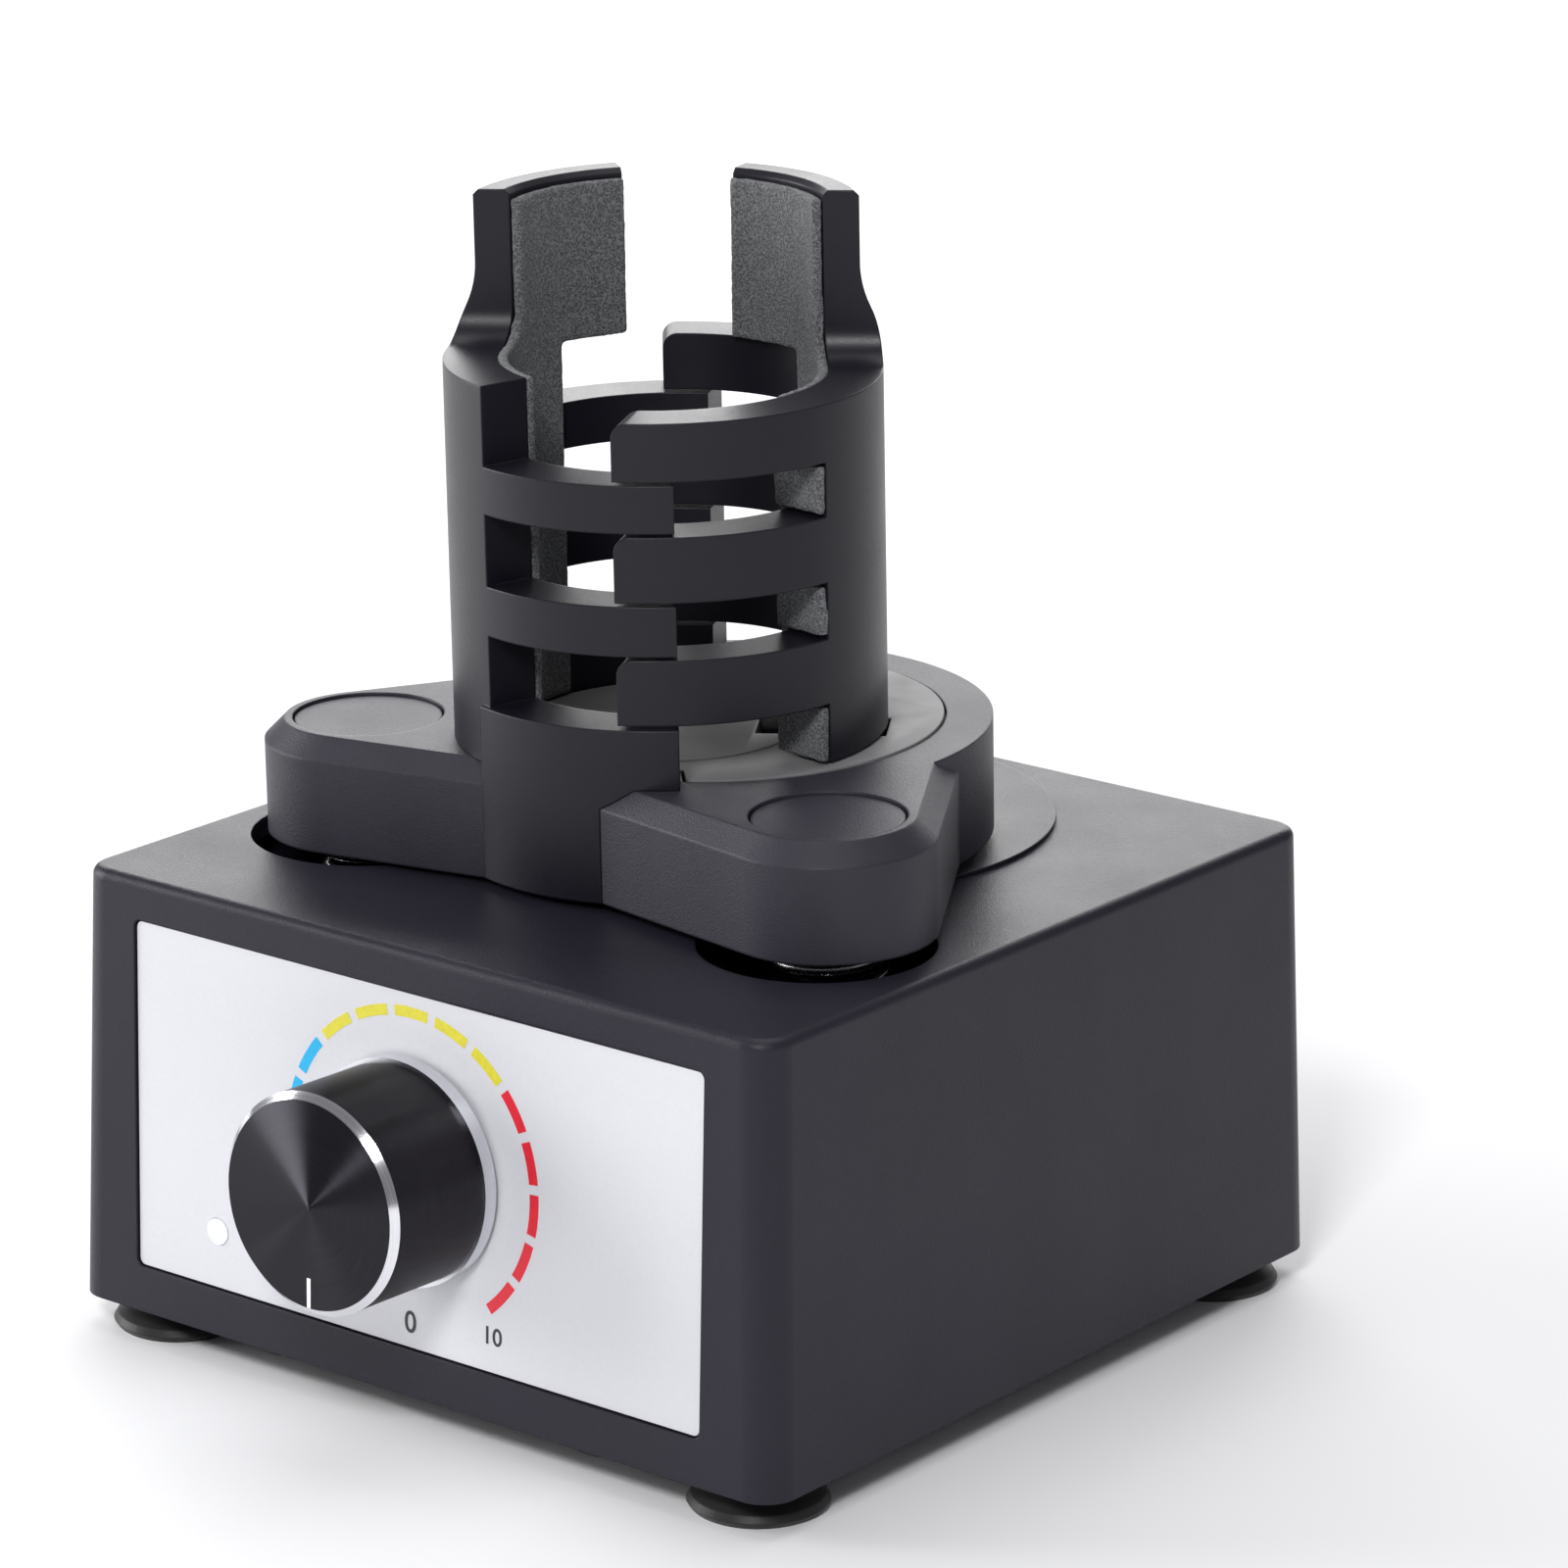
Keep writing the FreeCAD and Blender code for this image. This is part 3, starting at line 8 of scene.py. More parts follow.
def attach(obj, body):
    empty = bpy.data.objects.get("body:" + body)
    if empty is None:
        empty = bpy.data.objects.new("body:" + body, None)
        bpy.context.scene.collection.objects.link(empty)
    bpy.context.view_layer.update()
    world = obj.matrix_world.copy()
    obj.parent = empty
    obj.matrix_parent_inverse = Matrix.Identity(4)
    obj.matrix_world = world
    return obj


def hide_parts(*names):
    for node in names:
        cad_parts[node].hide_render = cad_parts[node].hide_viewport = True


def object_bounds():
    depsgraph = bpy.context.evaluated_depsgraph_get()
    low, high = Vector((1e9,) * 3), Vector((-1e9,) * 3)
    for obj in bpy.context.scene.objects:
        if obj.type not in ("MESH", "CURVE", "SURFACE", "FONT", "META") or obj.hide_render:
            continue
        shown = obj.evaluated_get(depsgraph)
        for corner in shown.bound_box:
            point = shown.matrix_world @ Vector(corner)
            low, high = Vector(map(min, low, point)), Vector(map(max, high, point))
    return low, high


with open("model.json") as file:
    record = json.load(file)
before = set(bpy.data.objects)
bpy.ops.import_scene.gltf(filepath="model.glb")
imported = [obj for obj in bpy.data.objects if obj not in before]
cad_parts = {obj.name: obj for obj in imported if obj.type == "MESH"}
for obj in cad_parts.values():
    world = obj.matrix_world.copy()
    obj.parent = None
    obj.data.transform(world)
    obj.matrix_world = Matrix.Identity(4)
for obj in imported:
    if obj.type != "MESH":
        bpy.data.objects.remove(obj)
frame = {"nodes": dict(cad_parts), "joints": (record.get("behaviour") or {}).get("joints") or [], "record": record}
CAD_LOW, CAD_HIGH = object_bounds()

bl_info = {
    "name": "Bottle shaker",
    "version": (1, 0, 0),
    "blender": (4, 5, 0),
    "location": "View3D > Sidebar > Shaker",
    "description": "Dresses the packed model of a tabletop bottle shaker and sets up its stage",
    "category": "Object",
}

MM = 0.001
KNOB_JOINT = next(joint for joint in frame["joints"] if joint["name"] == "knob_turn")
KNOB_POINT = Vector(KNOB_JOINT["pos_m"])
KNOB_AXIS = Vector(KNOB_JOINT["axis"]).normalized()

# Camera: its place, its lens in millimetres, and where its right, up and back point
CAMERA_PLACE = (0.4676, -0.5609, 0.2898)
CAMERA_LENS = 152.1
CAMERA_AXES = ((0.7811, 0.6244, 0.0), (-0.1830, 0.2289, 0.9561), (0.5970, -0.7468, 0.2930))

# Numbers on the panel: right and up from the knob's axis, and text size per height of a figure
ZERO_PLACE = (0.0, -18.5 * MM)
TEN_PLACE = (12.2 * MM, -17.2 * MM)
TEXT_PER_HEIGHT = 1.42

# Turned metal: rings per metre in the noise, and the outward slope of the rings on the knob's face
RING_SCALE = 9000.0
FLANK_TILT = 0.36


# Settings
class ShakerSizes(bpy.types.PropertyGroup):
    dial_outer: bpy.props.FloatProperty(
        name="Dial outer radius", description="Outer radius of the coloured scale round the knob",
        default=18.87 * MM, min=0.014, max=0.02, unit="LENGTH", subtype="DISTANCE")
    dial_inner: bpy.props.FloatProperty(
        name="Dial inner radius", description="Inner radius of the coloured scale round the knob",
        default=17.58 * MM, min=0.0135, max=0.0195, unit="LENGTH", subtype="DISTANCE")
    dash_pitch: bpy.props.FloatProperty(
        name="Dash pitch", description="Angle from one dash of the scale to the next",
        default=math.radians(18.93), unit="ROTATION", subtype="ANGLE")
    dash_span: bpy.props.FloatProperty(
        name="Dash length", description="Angle that one dash of the scale spans",
        default=math.radians(15.3), unit="ROTATION", subtype="ANGLE")
    print_thick: bpy.props.FloatProperty(
        name="Print thickness", description="How far the printed marks stand off the panel",
        default=0.03 * MM, min=0.00001, max=0.0002, unit="LENGTH", subtype="DISTANCE")
    numeral_high: bpy.props.FloatProperty(
        name="Numeral height", description="Height of the numbers at the ends of the scale",
        default=2.6 * MM, min=0.001, max=0.005, unit="LENGTH", subtype="DISTANCE")
    knob_radius: bpy.props.FloatProperty(
        name="Knob radius", description="Radius of the speed knob's grip",
        default=12.8 * MM, min=0.008, max=0.016, unit="LENGTH", subtype="DISTANCE")
    knob_bevel: bpy.props.FloatProperty(
        name="Knob edge", description="Width of the bright cut edge round the knob's face",
        default=0.8 * MM, min=0.0002, max=0.002, unit="LENGTH", subtype="DISTANCE")
    foam_cell: bpy.props.FloatProperty(
        name="Foam cell", description="Size of the open cells on the foam linings",
        default=0.7 * MM, min=0.0002, max=0.003, unit="LENGTH", subtype="DISTANCE")
    foam_depth: bpy.props.FloatProperty(
        name="Foam roughness", description="Depth of the open cells on the foam linings",
        default=0.18 * MM, min=0.0, max=0.0006, unit="LENGTH", subtype="DISTANCE")
    mat_edge: bpy.props.FloatProperty(
        name="Mat edge", description="Radius of the rounded edge of the rubber mat",
        default=0.16 * MM, min=0.00002, max=0.0005, unit="LENGTH", subtype="DISTANCE")


class ShakerColours(bpy.types.PropertyGroup):
    housing: bpy.props.FloatVectorProperty(
        name="Housing", description="Colour of the moulded housing and platform",
        default=(0.0165, 0.0150, 0.0245), min=0.0, max=1.0, size=3, subtype="COLOR")
    # The platform's colour is lighter than the housing's for two reasons: part is dust, and part is painted sheen
    # that stands in for light falling on its walls and chamfers.
    platform: bpy.props.FloatVectorProperty(
        name="Platform", description="Colour of the swinging platform, a shade lighter with dust",
        default=(0.0300, 0.0275, 0.0400), min=0.0, max=1.0, size=3, subtype="COLOR")
    clamp: bpy.props.FloatVectorProperty(
        name="Clamp", description="Colour of the two comb jaws",
        default=(0.0085, 0.0076, 0.0135), min=0.0, max=1.0, size=3, subtype="COLOR")
    panel: bpy.props.FloatVectorProperty(
        name="Panel", description="Colour of the front panel",
        default=(0.69, 0.69, 0.73), min=0.0, max=1.0, size=3, subtype="COLOR")
    knob: bpy.props.FloatVectorProperty(
        name="Knob", description="Colour of the knob's dark anodised metal",
        default=(0.032, 0.031, 0.037), min=0.0, max=1.0, size=3, subtype="COLOR")
    slow: bpy.props.FloatVectorProperty(
        name="Slow marks", description="Colour of the scale's first third",
        default=(0.0, 0.45, 0.82), min=0.0, max=1.0, size=3, subtype="COLOR")
    middle: bpy.props.FloatVectorProperty(
        name="Middle marks", description="Colour of the scale's middle third",
        default=(0.74, 0.67, 0.04), min=0.0, max=1.0, size=3, subtype="COLOR")
    fast: bpy.props.FloatVectorProperty(
        name="Fast marks", description="Colour of the scale's last third",
        default=(0.80, 0.02, 0.04), min=0.0, max=1.0, size=3, subtype="COLOR")
    mat: bpy.props.FloatVectorProperty(
        name="Mat", description="Colour of the rubber mat on the platform",
        default=(0.20, 0.20, 0.205), min=0.0, max=1.0, size=3, subtype="COLOR")
    floor: bpy.props.FloatVectorProperty(
        name="Floor", description="Colour of the studio floor",
        default=(0.93, 0.93, 0.94), min=0.0, max=1.0, size=3, subtype="COLOR")


# Nodes and materials
class Shader:
    """Small helper that wires one material's node tree."""

    def __init__(self, name):
        self.material = bpy.data.materials.new(name)
        self.material.use_nodes = True
        self.tree = self.material.node_tree
        self.surface = next(node for node in self.tree.nodes if node.type == "BSDF_PRINCIPLED")
        self.place = self.add("ShaderNodeTexCoord")

    def add(self, kind, **settings):
        node = self.tree.nodes.new(kind)
        for key, value in settings.items():
            setattr(node, key, value)
        return node

    def link(self, start, end):
        self.tree.links.new(start, end)

    def noise(self, scale, detail=3.0, roughness=0.5, stretch=(1.0, 1.0, 1.0)):
        """Noise on the object's own coordinates; scale counts features per metre."""
        mapping = self.add("ShaderNodeMapping")
        mapping.inputs["Scale"].default_value = stretch
        self.link(self.place.outputs["Object"], mapping.inputs["Vector"])
        node = self.add("ShaderNodeTexNoise")
        node.inputs["Scale"].default_value = scale
        node.inputs["Detail"].default_value = detail
        node.inputs["Roughness"].default_value = roughness
        self.link(mapping.outputs["Vector"], node.inputs["Vector"])
        return node.outputs["Fac"]

    def spread(self, value, low, high, start=0.3, end=0.7):
        node = self.add("ShaderNodeMapRange")
        node.inputs["From Min"].default_value = start
        node.inputs["From Max"].default_value = end
        node.inputs["To Min"].default_value = low
        node.inputs["To Max"].default_value = high
        self.link(value, node.inputs["Value"])
        return node.outputs["Result"]

    def blend(self, value, first, second, start=0.3, end=0.7):
        node = self.add("ShaderNodeValToRGB")
        node.color_ramp.elements[0].position = start
        node.color_ramp.elements[0].color = (*first, 1.0)
        node.color_ramp.elements[1].position = end
        node.color_ramp.elements[1].color = (*second, 1.0)
        self.link(value, node.inputs["Fac"])
        return node.outputs["Color"]

    def bump(self, value, height, previous=None):
        node = self.add("ShaderNodeBump")
        node.inputs["Strength"].default_value = 1.0
        node.inputs["Distance"].default_value = height
        self.link(value, node.inputs["Height"])
        if previous is not None:
            self.link(previous, node.inputs["Normal"])
        return node.outputs["Normal"]

    def soft_edge(self, radius):
        """Rounds sharp edges in the shading, as moulded corners are."""
        node = self.add("ShaderNodeBevel", samples=6)
        node.inputs["Radius"].default_value = radius
        return node.outputs["Normal"]

    def set(self, **values):
        for key, value in values.items():
            name = key.replace("_", " ").title().replace("Ior", "IOR")
            self.surface.inputs[name].default_value = value

    def colour(self, output):
        self.link(output, self.surface.inputs["Base Color"])

    def roughness(self, output):
        self.link(output, self.surface.inputs["Roughness"])

    def normal(self, output):
        self.link(output, self.surface.inputs["Normal"])


def shade(colour, factor):
    return tuple(min(1.0, part * factor) for part in colour)


def moulded(name, colour, rough, grain, depth, edge, variation=0.12, lift=1.0):
    """Moulded plastic: fine pebble grain, faint flow marks and softened corners."""
    shader = Shader(name)
    flow = shader.noise(28.0, 4.0, 0.6, (1.0, 1.0, 0.5))
    shader.colour(shader.blend(flow, shade(colour, 1.0 - variation), shade(colour, 1.0 + variation)))
    pebble = shader.noise(grain, 2.0, 0.6)
    patch = shader.noise(90.0, 3.0, 0.5)
    mixed = shader.add("ShaderNodeMix", data_type="FLOAT")
    mixed.inputs["Factor"].default_value = 0.35
    shader.link(pebble, mixed.inputs["A"])
    shader.link(patch, mixed.inputs["B"])
    shader.roughness(shader.spread(mixed.outputs["Result"], rough - 0.05, rough + 0.07))
    shader.set(specular_ior_level=0.5 * lift)
    shader.normal(shader.bump(pebble, depth, shader.soft_edge(edge)))
    return shader


def pebbled_plastic(colour):
    return moulded("charcoal_moulded", colour, 0.40, 5200.0, 0.000045, 0.00035, 0.16, 0.55).material


def platform_plastic(colour):
    return moulded("platform_moulded", colour, 0.46, 4300.0, 0.00005, 0.0004, 0.30, 0.75).material


def matte_plastic(colour):
    return moulded("black_moulded", colour, 0.38, 3800.0, 0.000012, 0.0003, 0.12, 0.7).material


def panel_sheet(colour):
    """Silver-white sheet with a very fine grain under a satin print."""
    shader = Shader("panel_sheet")
    grain = shader.noise(2600.0, 3.0, 0.6)
    cloud = shader.noise(14.0, 2.0, 0.5)
    mixed = shader.add("ShaderNodeMix", data_type="FLOAT")
    mixed.inputs["Factor"].default_value = 0.5
    shader.link(grain, mixed.inputs["A"])
    shader.link(cloud, mixed.inputs["B"])
    pale, bright = shade(colour, 0.965), shade(colour, 1.03)
    shader.colour(shader.blend(mixed.outputs["Result"], pale, bright, 0.35, 0.65))
    shader.roughness(shader.spread(grain, 0.34, 0.42))
    shader.set(specular_ior_level=0.35)
    shader.normal(shader.bump(grain, 0.000004))
    return shader.material


def ink(name, colour):
    """Printed ink: thin, satin and slightly uneven."""
    shader = Shader(name)
    cloud = shader.noise(1500.0, 3.0, 0.5)
    shader.colour(shader.blend(cloud, shade(colour, 0.93), shade(colour, 1.05)))
    shader.roughness(shader.spread(cloud, 0.40, 0.50))
    shader.normal(shader.bump(cloud, 0.000003))
    return shader.material


def turned_metal(name, colour, rough, stretch, depth, swirl, tilt=0.0):
    """Lathe-turned metal: fine rings about the knob's axis, with flanks that tilt outward."""
    shader = Shader(name)
    axis = shader.add("ShaderNodeMapping")
    axis.inputs["Location"].default_value = (-KNOB_POINT.x, -KNOB_POINT.y, -KNOB_POINT.z)
    shader.link(shader.place.outputs["Object"], axis.inputs["Vector"])
    split = shader.add("ShaderNodeSeparateXYZ")
    shader.link(axis.outputs["Vector"], split.inputs["Vector"])
    flat = shader.add("ShaderNodeCombineXYZ")
    shader.link(split.outputs["X"], flat.inputs["X"])
    shader.link(split.outputs["Z"], flat.inputs["Y"])
    reach = shader.add("ShaderNodeVectorMath", operation="LENGTH")
    shader.link(flat.outputs["Vector"], reach.inputs[0])
    turn = shader.add("ShaderNodeCombineXYZ")
    shader.link(reach.outputs["Value"], turn.inputs["X"])
    shader.link(split.outputs["Y"], turn.inputs["Y"])
    lines = shader.add("ShaderNodeTexNoise")
    lines.inputs["Scale"].default_value = stretch
    lines.inputs["Detail"].default_value = 3.0
    shader.link(turn.outputs["Vector"], lines.inputs["Vector"])
    shader.colour(shader.blend(lines.outputs["Fac"], shade(colour, 0.85), shade(colour, 1.15)))
    shader.roughness(shader.spread(lines.outputs["Fac"], rough - 0.04, rough + 0.05))
    tangent = shader.add("ShaderNodeTangent", direction_type="RADIAL", axis="Y")
    shader.link(tangent.outputs["Tangent"], shader.surface.inputs["Tangent"])
    shader.set(metallic=1.0, anisotropic=swirl, anisotropic_rotation=0.25)
    flank = shader.add("ShaderNodeMath", operation="MULTIPLY")
    flank.inputs[1].default_value = -tilt
    shader.link(reach.outputs["Value"], flank.inputs[0])
    shader.normal(shader.bump(lines.outputs["Fac"], depth, shader.bump(flank.outputs["Value"], 1.0)))
    return shader.material


def plain_metal(name, colour, rough, scale, stretch=(1.0, 1.0, 1.0), depth=0.000004):
    """Sheet or machined metal with fine drawn lines."""
    shader = Shader(name)
    lines = shader.noise(scale, 3.0, 0.6, stretch)
    cloud = shader.noise(160.0, 3.0, 0.5)
    shader.colour(shader.blend(cloud, shade(colour, 0.84), shade(colour, 1.08)))
    shader.roughness(shader.spread(lines, rough - 0.06, rough + 0.10))
    shader.set(metallic=1.0)
    shader.normal(shader.bump(lines, depth, shader.soft_edge(0.00015)))
    return shader.material


def rubber(name, colour, rough, scale, depth):
    """Soft moulded rubber with a dusty bloom."""
    shader = Shader(name)
    bloom = shader.noise(220.0, 4.0, 0.6)
    shader.colour(shader.blend(bloom, shade(colour, 0.9), shade(colour, 1.12)))
    fine = shader.noise(scale, 2.0, 0.5)
    shader.roughness(shader.spread(bloom, rough - 0.06, rough + 0.06))
    shader.set(specular_ior_level=0.35, sheen_weight=0.08, sheen_roughness=0.5)
    shader.normal(shader.bump(fine, depth, shader.soft_edge(0.00025)))
    return shader.material


def open_foam(name, colour):
    """Open-cell foam: pores darkened with painted shade between lighter struts."""
    shader = Shader(name)
    cells = shader.add("ShaderNodeTexVoronoi")
    cells.inputs["Scale"].default_value = 3600.0
    shader.link(shader.place.outputs["Object"], cells.inputs["Vector"])
    grit = shader.noise(6000.0, 3.0, 0.7)
    mixed = shader.add("ShaderNodeMix", data_type="FLOAT")
    mixed.inputs["Factor"].default_value = 0.55
    shader.link(cells.outputs["Distance"], mixed.inputs["A"])
    shader.link(grit, mixed.inputs["B"])
    # Painted shade: the pores' dark colour stands in for the shade inside the open cells.
    painted_pore_shade, strut = shade(colour, 0.18), shade(colour, 2.4)
    shader.colour(shader.blend(mixed.outputs["Result"], painted_pore_shade, strut, 0.30, 0.62))
    shader.roughness(shader.spread(grit, 0.8, 0.95))
    shader.set(specular_ior_level=0.2, sheen_weight=0.2, sheen_roughness=0.6)
    shader.normal(shader.bump(mixed.outputs["Result"], 0.0003))
    return shader.material


def circuit_board(name, colour):
    """Solder mask over faint copper tracks."""
    shader = Shader(name)
    tracks = shader.add("ShaderNodeTexBrick")
    tracks.inputs["Scale"].default_value = 260.0
    tracks.inputs["Color1"].default_value = (*shade(colour, 0.9), 1.0)
    tracks.inputs["Color2"].default_value = (*shade(colour, 1.1), 1.0)
    tracks.inputs["Mortar"].default_value = (*shade(colour, 1.7), 1.0)
    tracks.inputs["Mortar Size"].default_value = 0.03
    turned = shader.add("ShaderNodeMapping")
    turned.inputs["Rotation"].default_value = (math.pi / 2, 0.0, 0.0)
    shader.link(shader.place.outputs["Object"], turned.inputs["Vector"])
    shader.link(turned.outputs["Vector"], tracks.inputs["Vector"])
    shader.colour(tracks.outputs["Color"])
    shader.roughness(shader.spread(shader.noise(700.0), 0.25, 0.38))
    shader.normal(shader.bump(tracks.outputs["Fac"], 0.00003))
    return shader.material


def clear_lens(name, colour):
    """Milky lamp lens."""
    shader = Shader(name)
    cloud = shader.noise(900.0, 2.0, 0.5)
    shader.colour(shader.blend(cloud, shade(colour, 0.94), shade(colour, 1.02)))
    shader.roughness(shader.spread(cloud, 0.12, 0.2))
    shader.set(subsurface_weight=0.3, subsurface_scale=0.001, coat_weight=0.4)
    return shader.material


# Modelling helpers
def clear_selection():
    if bpy.context.object is not None and bpy.context.object.mode != "OBJECT":
        bpy.ops.object.mode_set(mode="OBJECT")
    bpy.ops.object.select_all(action="DESELECT")


def activate(piece):
    clear_selection()
    piece.select_set(True)
    bpy.context.view_layer.objects.active = piece
    return piece


def pick(piece, test, kind="VERT"):
    """Selects, in object mode, the vertices or faces that the test names, then enters edit mode."""
    activate(piece)
    bpy.ops.object.mode_set(mode="EDIT")
    bpy.ops.mesh.select_mode(type=kind)
    bpy.ops.mesh.select_all(action="DESELECT")
    bpy.ops.object.mode_set(mode="OBJECT")
    parts = piece.data.vertices if kind == "VERT" else piece.data.polygons
    for part in parts:
        part.select = test(part)
    bpy.ops.object.mode_set(mode="EDIT")


def set_into_mesh(piece):
    """Moves the object's place into its mesh, so that the object sits at the origin."""
    activate(piece)
    bpy.ops.object.transform_apply(location=True, rotation=True, scale=True)


def dress(piece, material, body):
    piece.data.materials.clear()
    piece.data.materials.append(material)
    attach(piece, body)
    return piece


def apply_modifier(piece, kind, **settings):
    activate(piece)
    modifier = piece.modifiers.new(kind.lower(), kind)
    for key, value in settings.items():
        setattr(modifier, key, value)
    bpy.ops.object.modifier_apply(modifier=modifier.name)


def on_panel(offset):
    """Place on the front panel at the knob's axis: X to the right, Y up along it and Z out of it."""
    out = -KNOB_AXIS
    right = Vector((1.0, 0.0, 0.0))
    up = out.cross(right)
    place = Matrix((right, up, out)).transposed().to_4x4()
    place.translation = panel_point() + out * offset
    return place


def panel_point():
    """Where the knob's axis meets the panel's outer face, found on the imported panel."""
    panel = frame["nodes"]["front_panel"]
    reach = max((vertex.co - KNOB_POINT).dot(-KNOB_AXIS) for vertex in panel.data.vertices)
    return KNOB_POINT - KNOB_AXIS * reach


def fresh_copy(node, name):
    """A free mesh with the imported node's form, to be worked on as its own piece."""
    piece = bpy.data.objects.new(name, frame["nodes"][node].data.copy())
    bpy.context.scene.collection.objects.link(piece)
    return activate(piece)


# Operators
class SHAKER_OT_camera(bpy.types.Operator):
    """Adds the camera at the photograph's viewing angle"""

    bl_idname = "shaker.camera"
    bl_label = "Camera"

    def execute(self, context):
        clear_selection()
        bpy.ops.object.camera_add(location=CAMERA_PLACE)
        camera = context.object
        camera.name = "camera"
        camera.rotation_euler = Matrix(CAMERA_AXES).transposed().to_euler()
        camera.data.lens = CAMERA_LENS
        camera.data.sensor_width = 36.0
        camera.data.clip_start = 0.01
        camera.data.clip_end = 20.0
        context.scene.camera = camera
        return {"FINISHED"}


class SHAKER_OT_stage(bpy.types.Operator):
    """Adds the pale floor, the soft lights and the pale background"""

    bl_idname = "shaker.stage"
    bl_label = "Stage"

    def execute(self, context):
        clear_selection()
        colours = context.scene.shaker_colours
        bpy.ops.mesh.primitive_plane_add(size=6.0, location=(0.0, 0.0, CAD_LOW.z))
        floor = context.object
        floor.name = "studio_floor"
        shader = Shader("studio_floor")
        cloud = shader.noise(3.0, 3.0, 0.5)
        tone = tuple(colours.floor)
        shader.colour(shader.blend(cloud, shade(tone, 0.995), shade(tone, 1.005)))
        shader.set(roughness=0.75, specular_ior_level=0.15)
        floor.data.materials.append(shader.material)

        lights = (
            ("left", (-1.30, -0.55, 0.45), (0.9, 0.8), 17.0),
            ("front", (0.42, -0.85, 0.78), (0.24, 0.24), 7.0),
            ("right", (1.3, -0.1, 0.5), (0.6, 0.9), 0.4),
            ("top", (-0.1, 0.30, 1.35), (1.0, 1.0), 7.0),
            ("back", (-0.85, 1.15, 0.50), (1.3, 0.7), 12.0),
        )
        for name, place, size, power in lights:
            clear_selection()
            bpy.ops.object.light_add(type="AREA", location=place)
            light = context.object
            light.name = "light_" + name
            light.data.shape = "RECTANGLE"
            light.data.size = size[0]
            light.data.size_y = size[1]
            light.data.energy = power
            way = Vector((0.0, 0.0, 0.06)) - Vector(place)
            light.rotation_euler = way.to_track_quat("-Z", "Y").to_euler()

        world = bpy.data.worlds.new("studio")
        world.use_nodes = True
        context.scene.world = world
        tree = world.node_tree
        tree.nodes.clear()
        output = tree.nodes.new("ShaderNodeOutputWorld")
        fill = tree.nodes.new("ShaderNodeBackground")
        fill.inputs["Color"].default_value = (0.95, 0.95, 1.0, 1.0)
        fill.inputs["Strength"].default_value = 0.22
        seen = tree.nodes.new("ShaderNodeBackground")
        seen.inputs["Color"].default_value = (1.0, 1.0, 1.0, 1.0)
        seen.inputs["Strength"].default_value = 0.98
        path = tree.nodes.new("ShaderNodeLightPath")
        choose = tree.nodes.new("ShaderNodeMixShader")
        tree.links.new(path.outputs["Is Camera Ray"], choose.inputs["Fac"])
        tree.links.new(fill.outputs["Background"], choose.inputs[1])
        tree.links.new(seen.outputs["Background"], choose.inputs[2])
        tree.links.new(choose.outputs["Shader"], output.inputs["Surface"])
        context.scene.view_settings.view_transform = "Standard"
        return {"FINISHED"}


class SHAKER_OT_finishes(bpy.types.Operator):
    """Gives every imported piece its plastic, metal or rubber"""

    bl_idname = "shaker.finishes"
    bl_label = "Finishes"

    def execute(self, context):
        colours = context.scene.shaker_colours
        made = {
            "charcoal_plastic": pebbled_plastic(tuple(colours.housing)),
            "black_plastic": matte_plastic(tuple(colours.clamp)),
            "panel_plastic": panel_sheet(tuple(colours.panel)),
            "grey_rubber": rubber("grey_rubber_sheet", tuple(colours.mat), 0.6, 2500.0, 0.00002),
            "black_rubber": rubber("black_rubber_foot", (0.012, 0.012, 0.013), 0.5, 1800.0, 0.00002),
            "foam_grey": open_foam("foam_backing", (0.075, 0.078, 0.08)),
            "dark_anodised": turned_metal("dark_turned", tuple(colours.knob), 0.36, RING_SCALE, 0.000001,
                                          0.95, FLANK_TILT),
            "bright_aluminium": turned_metal("bright_turned", (0.72, 0.73, 0.76), 0.2, RING_SCALE, 0.000003,
                                             0.6),
            "white_mark": ink("white_fill", (0.88, 0.88, 0.88)),
            "lamp_clear": clear_lens("lamp_lens", (0.86, 0.88, 0.92)),
            "steel": plain_metal("zinc_steel", (0.42, 0.43, 0.45), 0.33, 1400.0, (1.0, 1.0, 6.0)),
            "bearing_steel": plain_metal("ground_steel", (0.6, 0.61, 0.63), 0.16, 2600.0, (1.0, 1.0, 8.0)),
            "board_green": circuit_board("solder_mask", (0.012, 0.07, 0.035)),
            "brass_part": plain_metal("stamped_brass", (0.55, 0.38, 0.14), 0.3, 1800.0),
            "magnet_grey": plain_metal("sintered_magnet", (0.05, 0.05, 0.055), 0.6, 3000.0),
        }
        # The platform and spring caps take the lighter platform colour, which is partly dust and partly painted
        # sheen.
        platform = platform_plastic(tuple(colours.platform))
        for node, piece in frame["nodes"].items():
            moves = node == "platform_body" or node.startswith("spring_cap")
            for place in piece.material_slots:
                place.material = platform if moves else made[piece_slot(node)]
        return {"FINISHED"}


def piece_slot(node):
    """The record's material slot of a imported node."""
    for part in frame["record"]["subparts"]:
        if part["node"] == node:
            return part["material_slot"]
    raise KeyError(node)


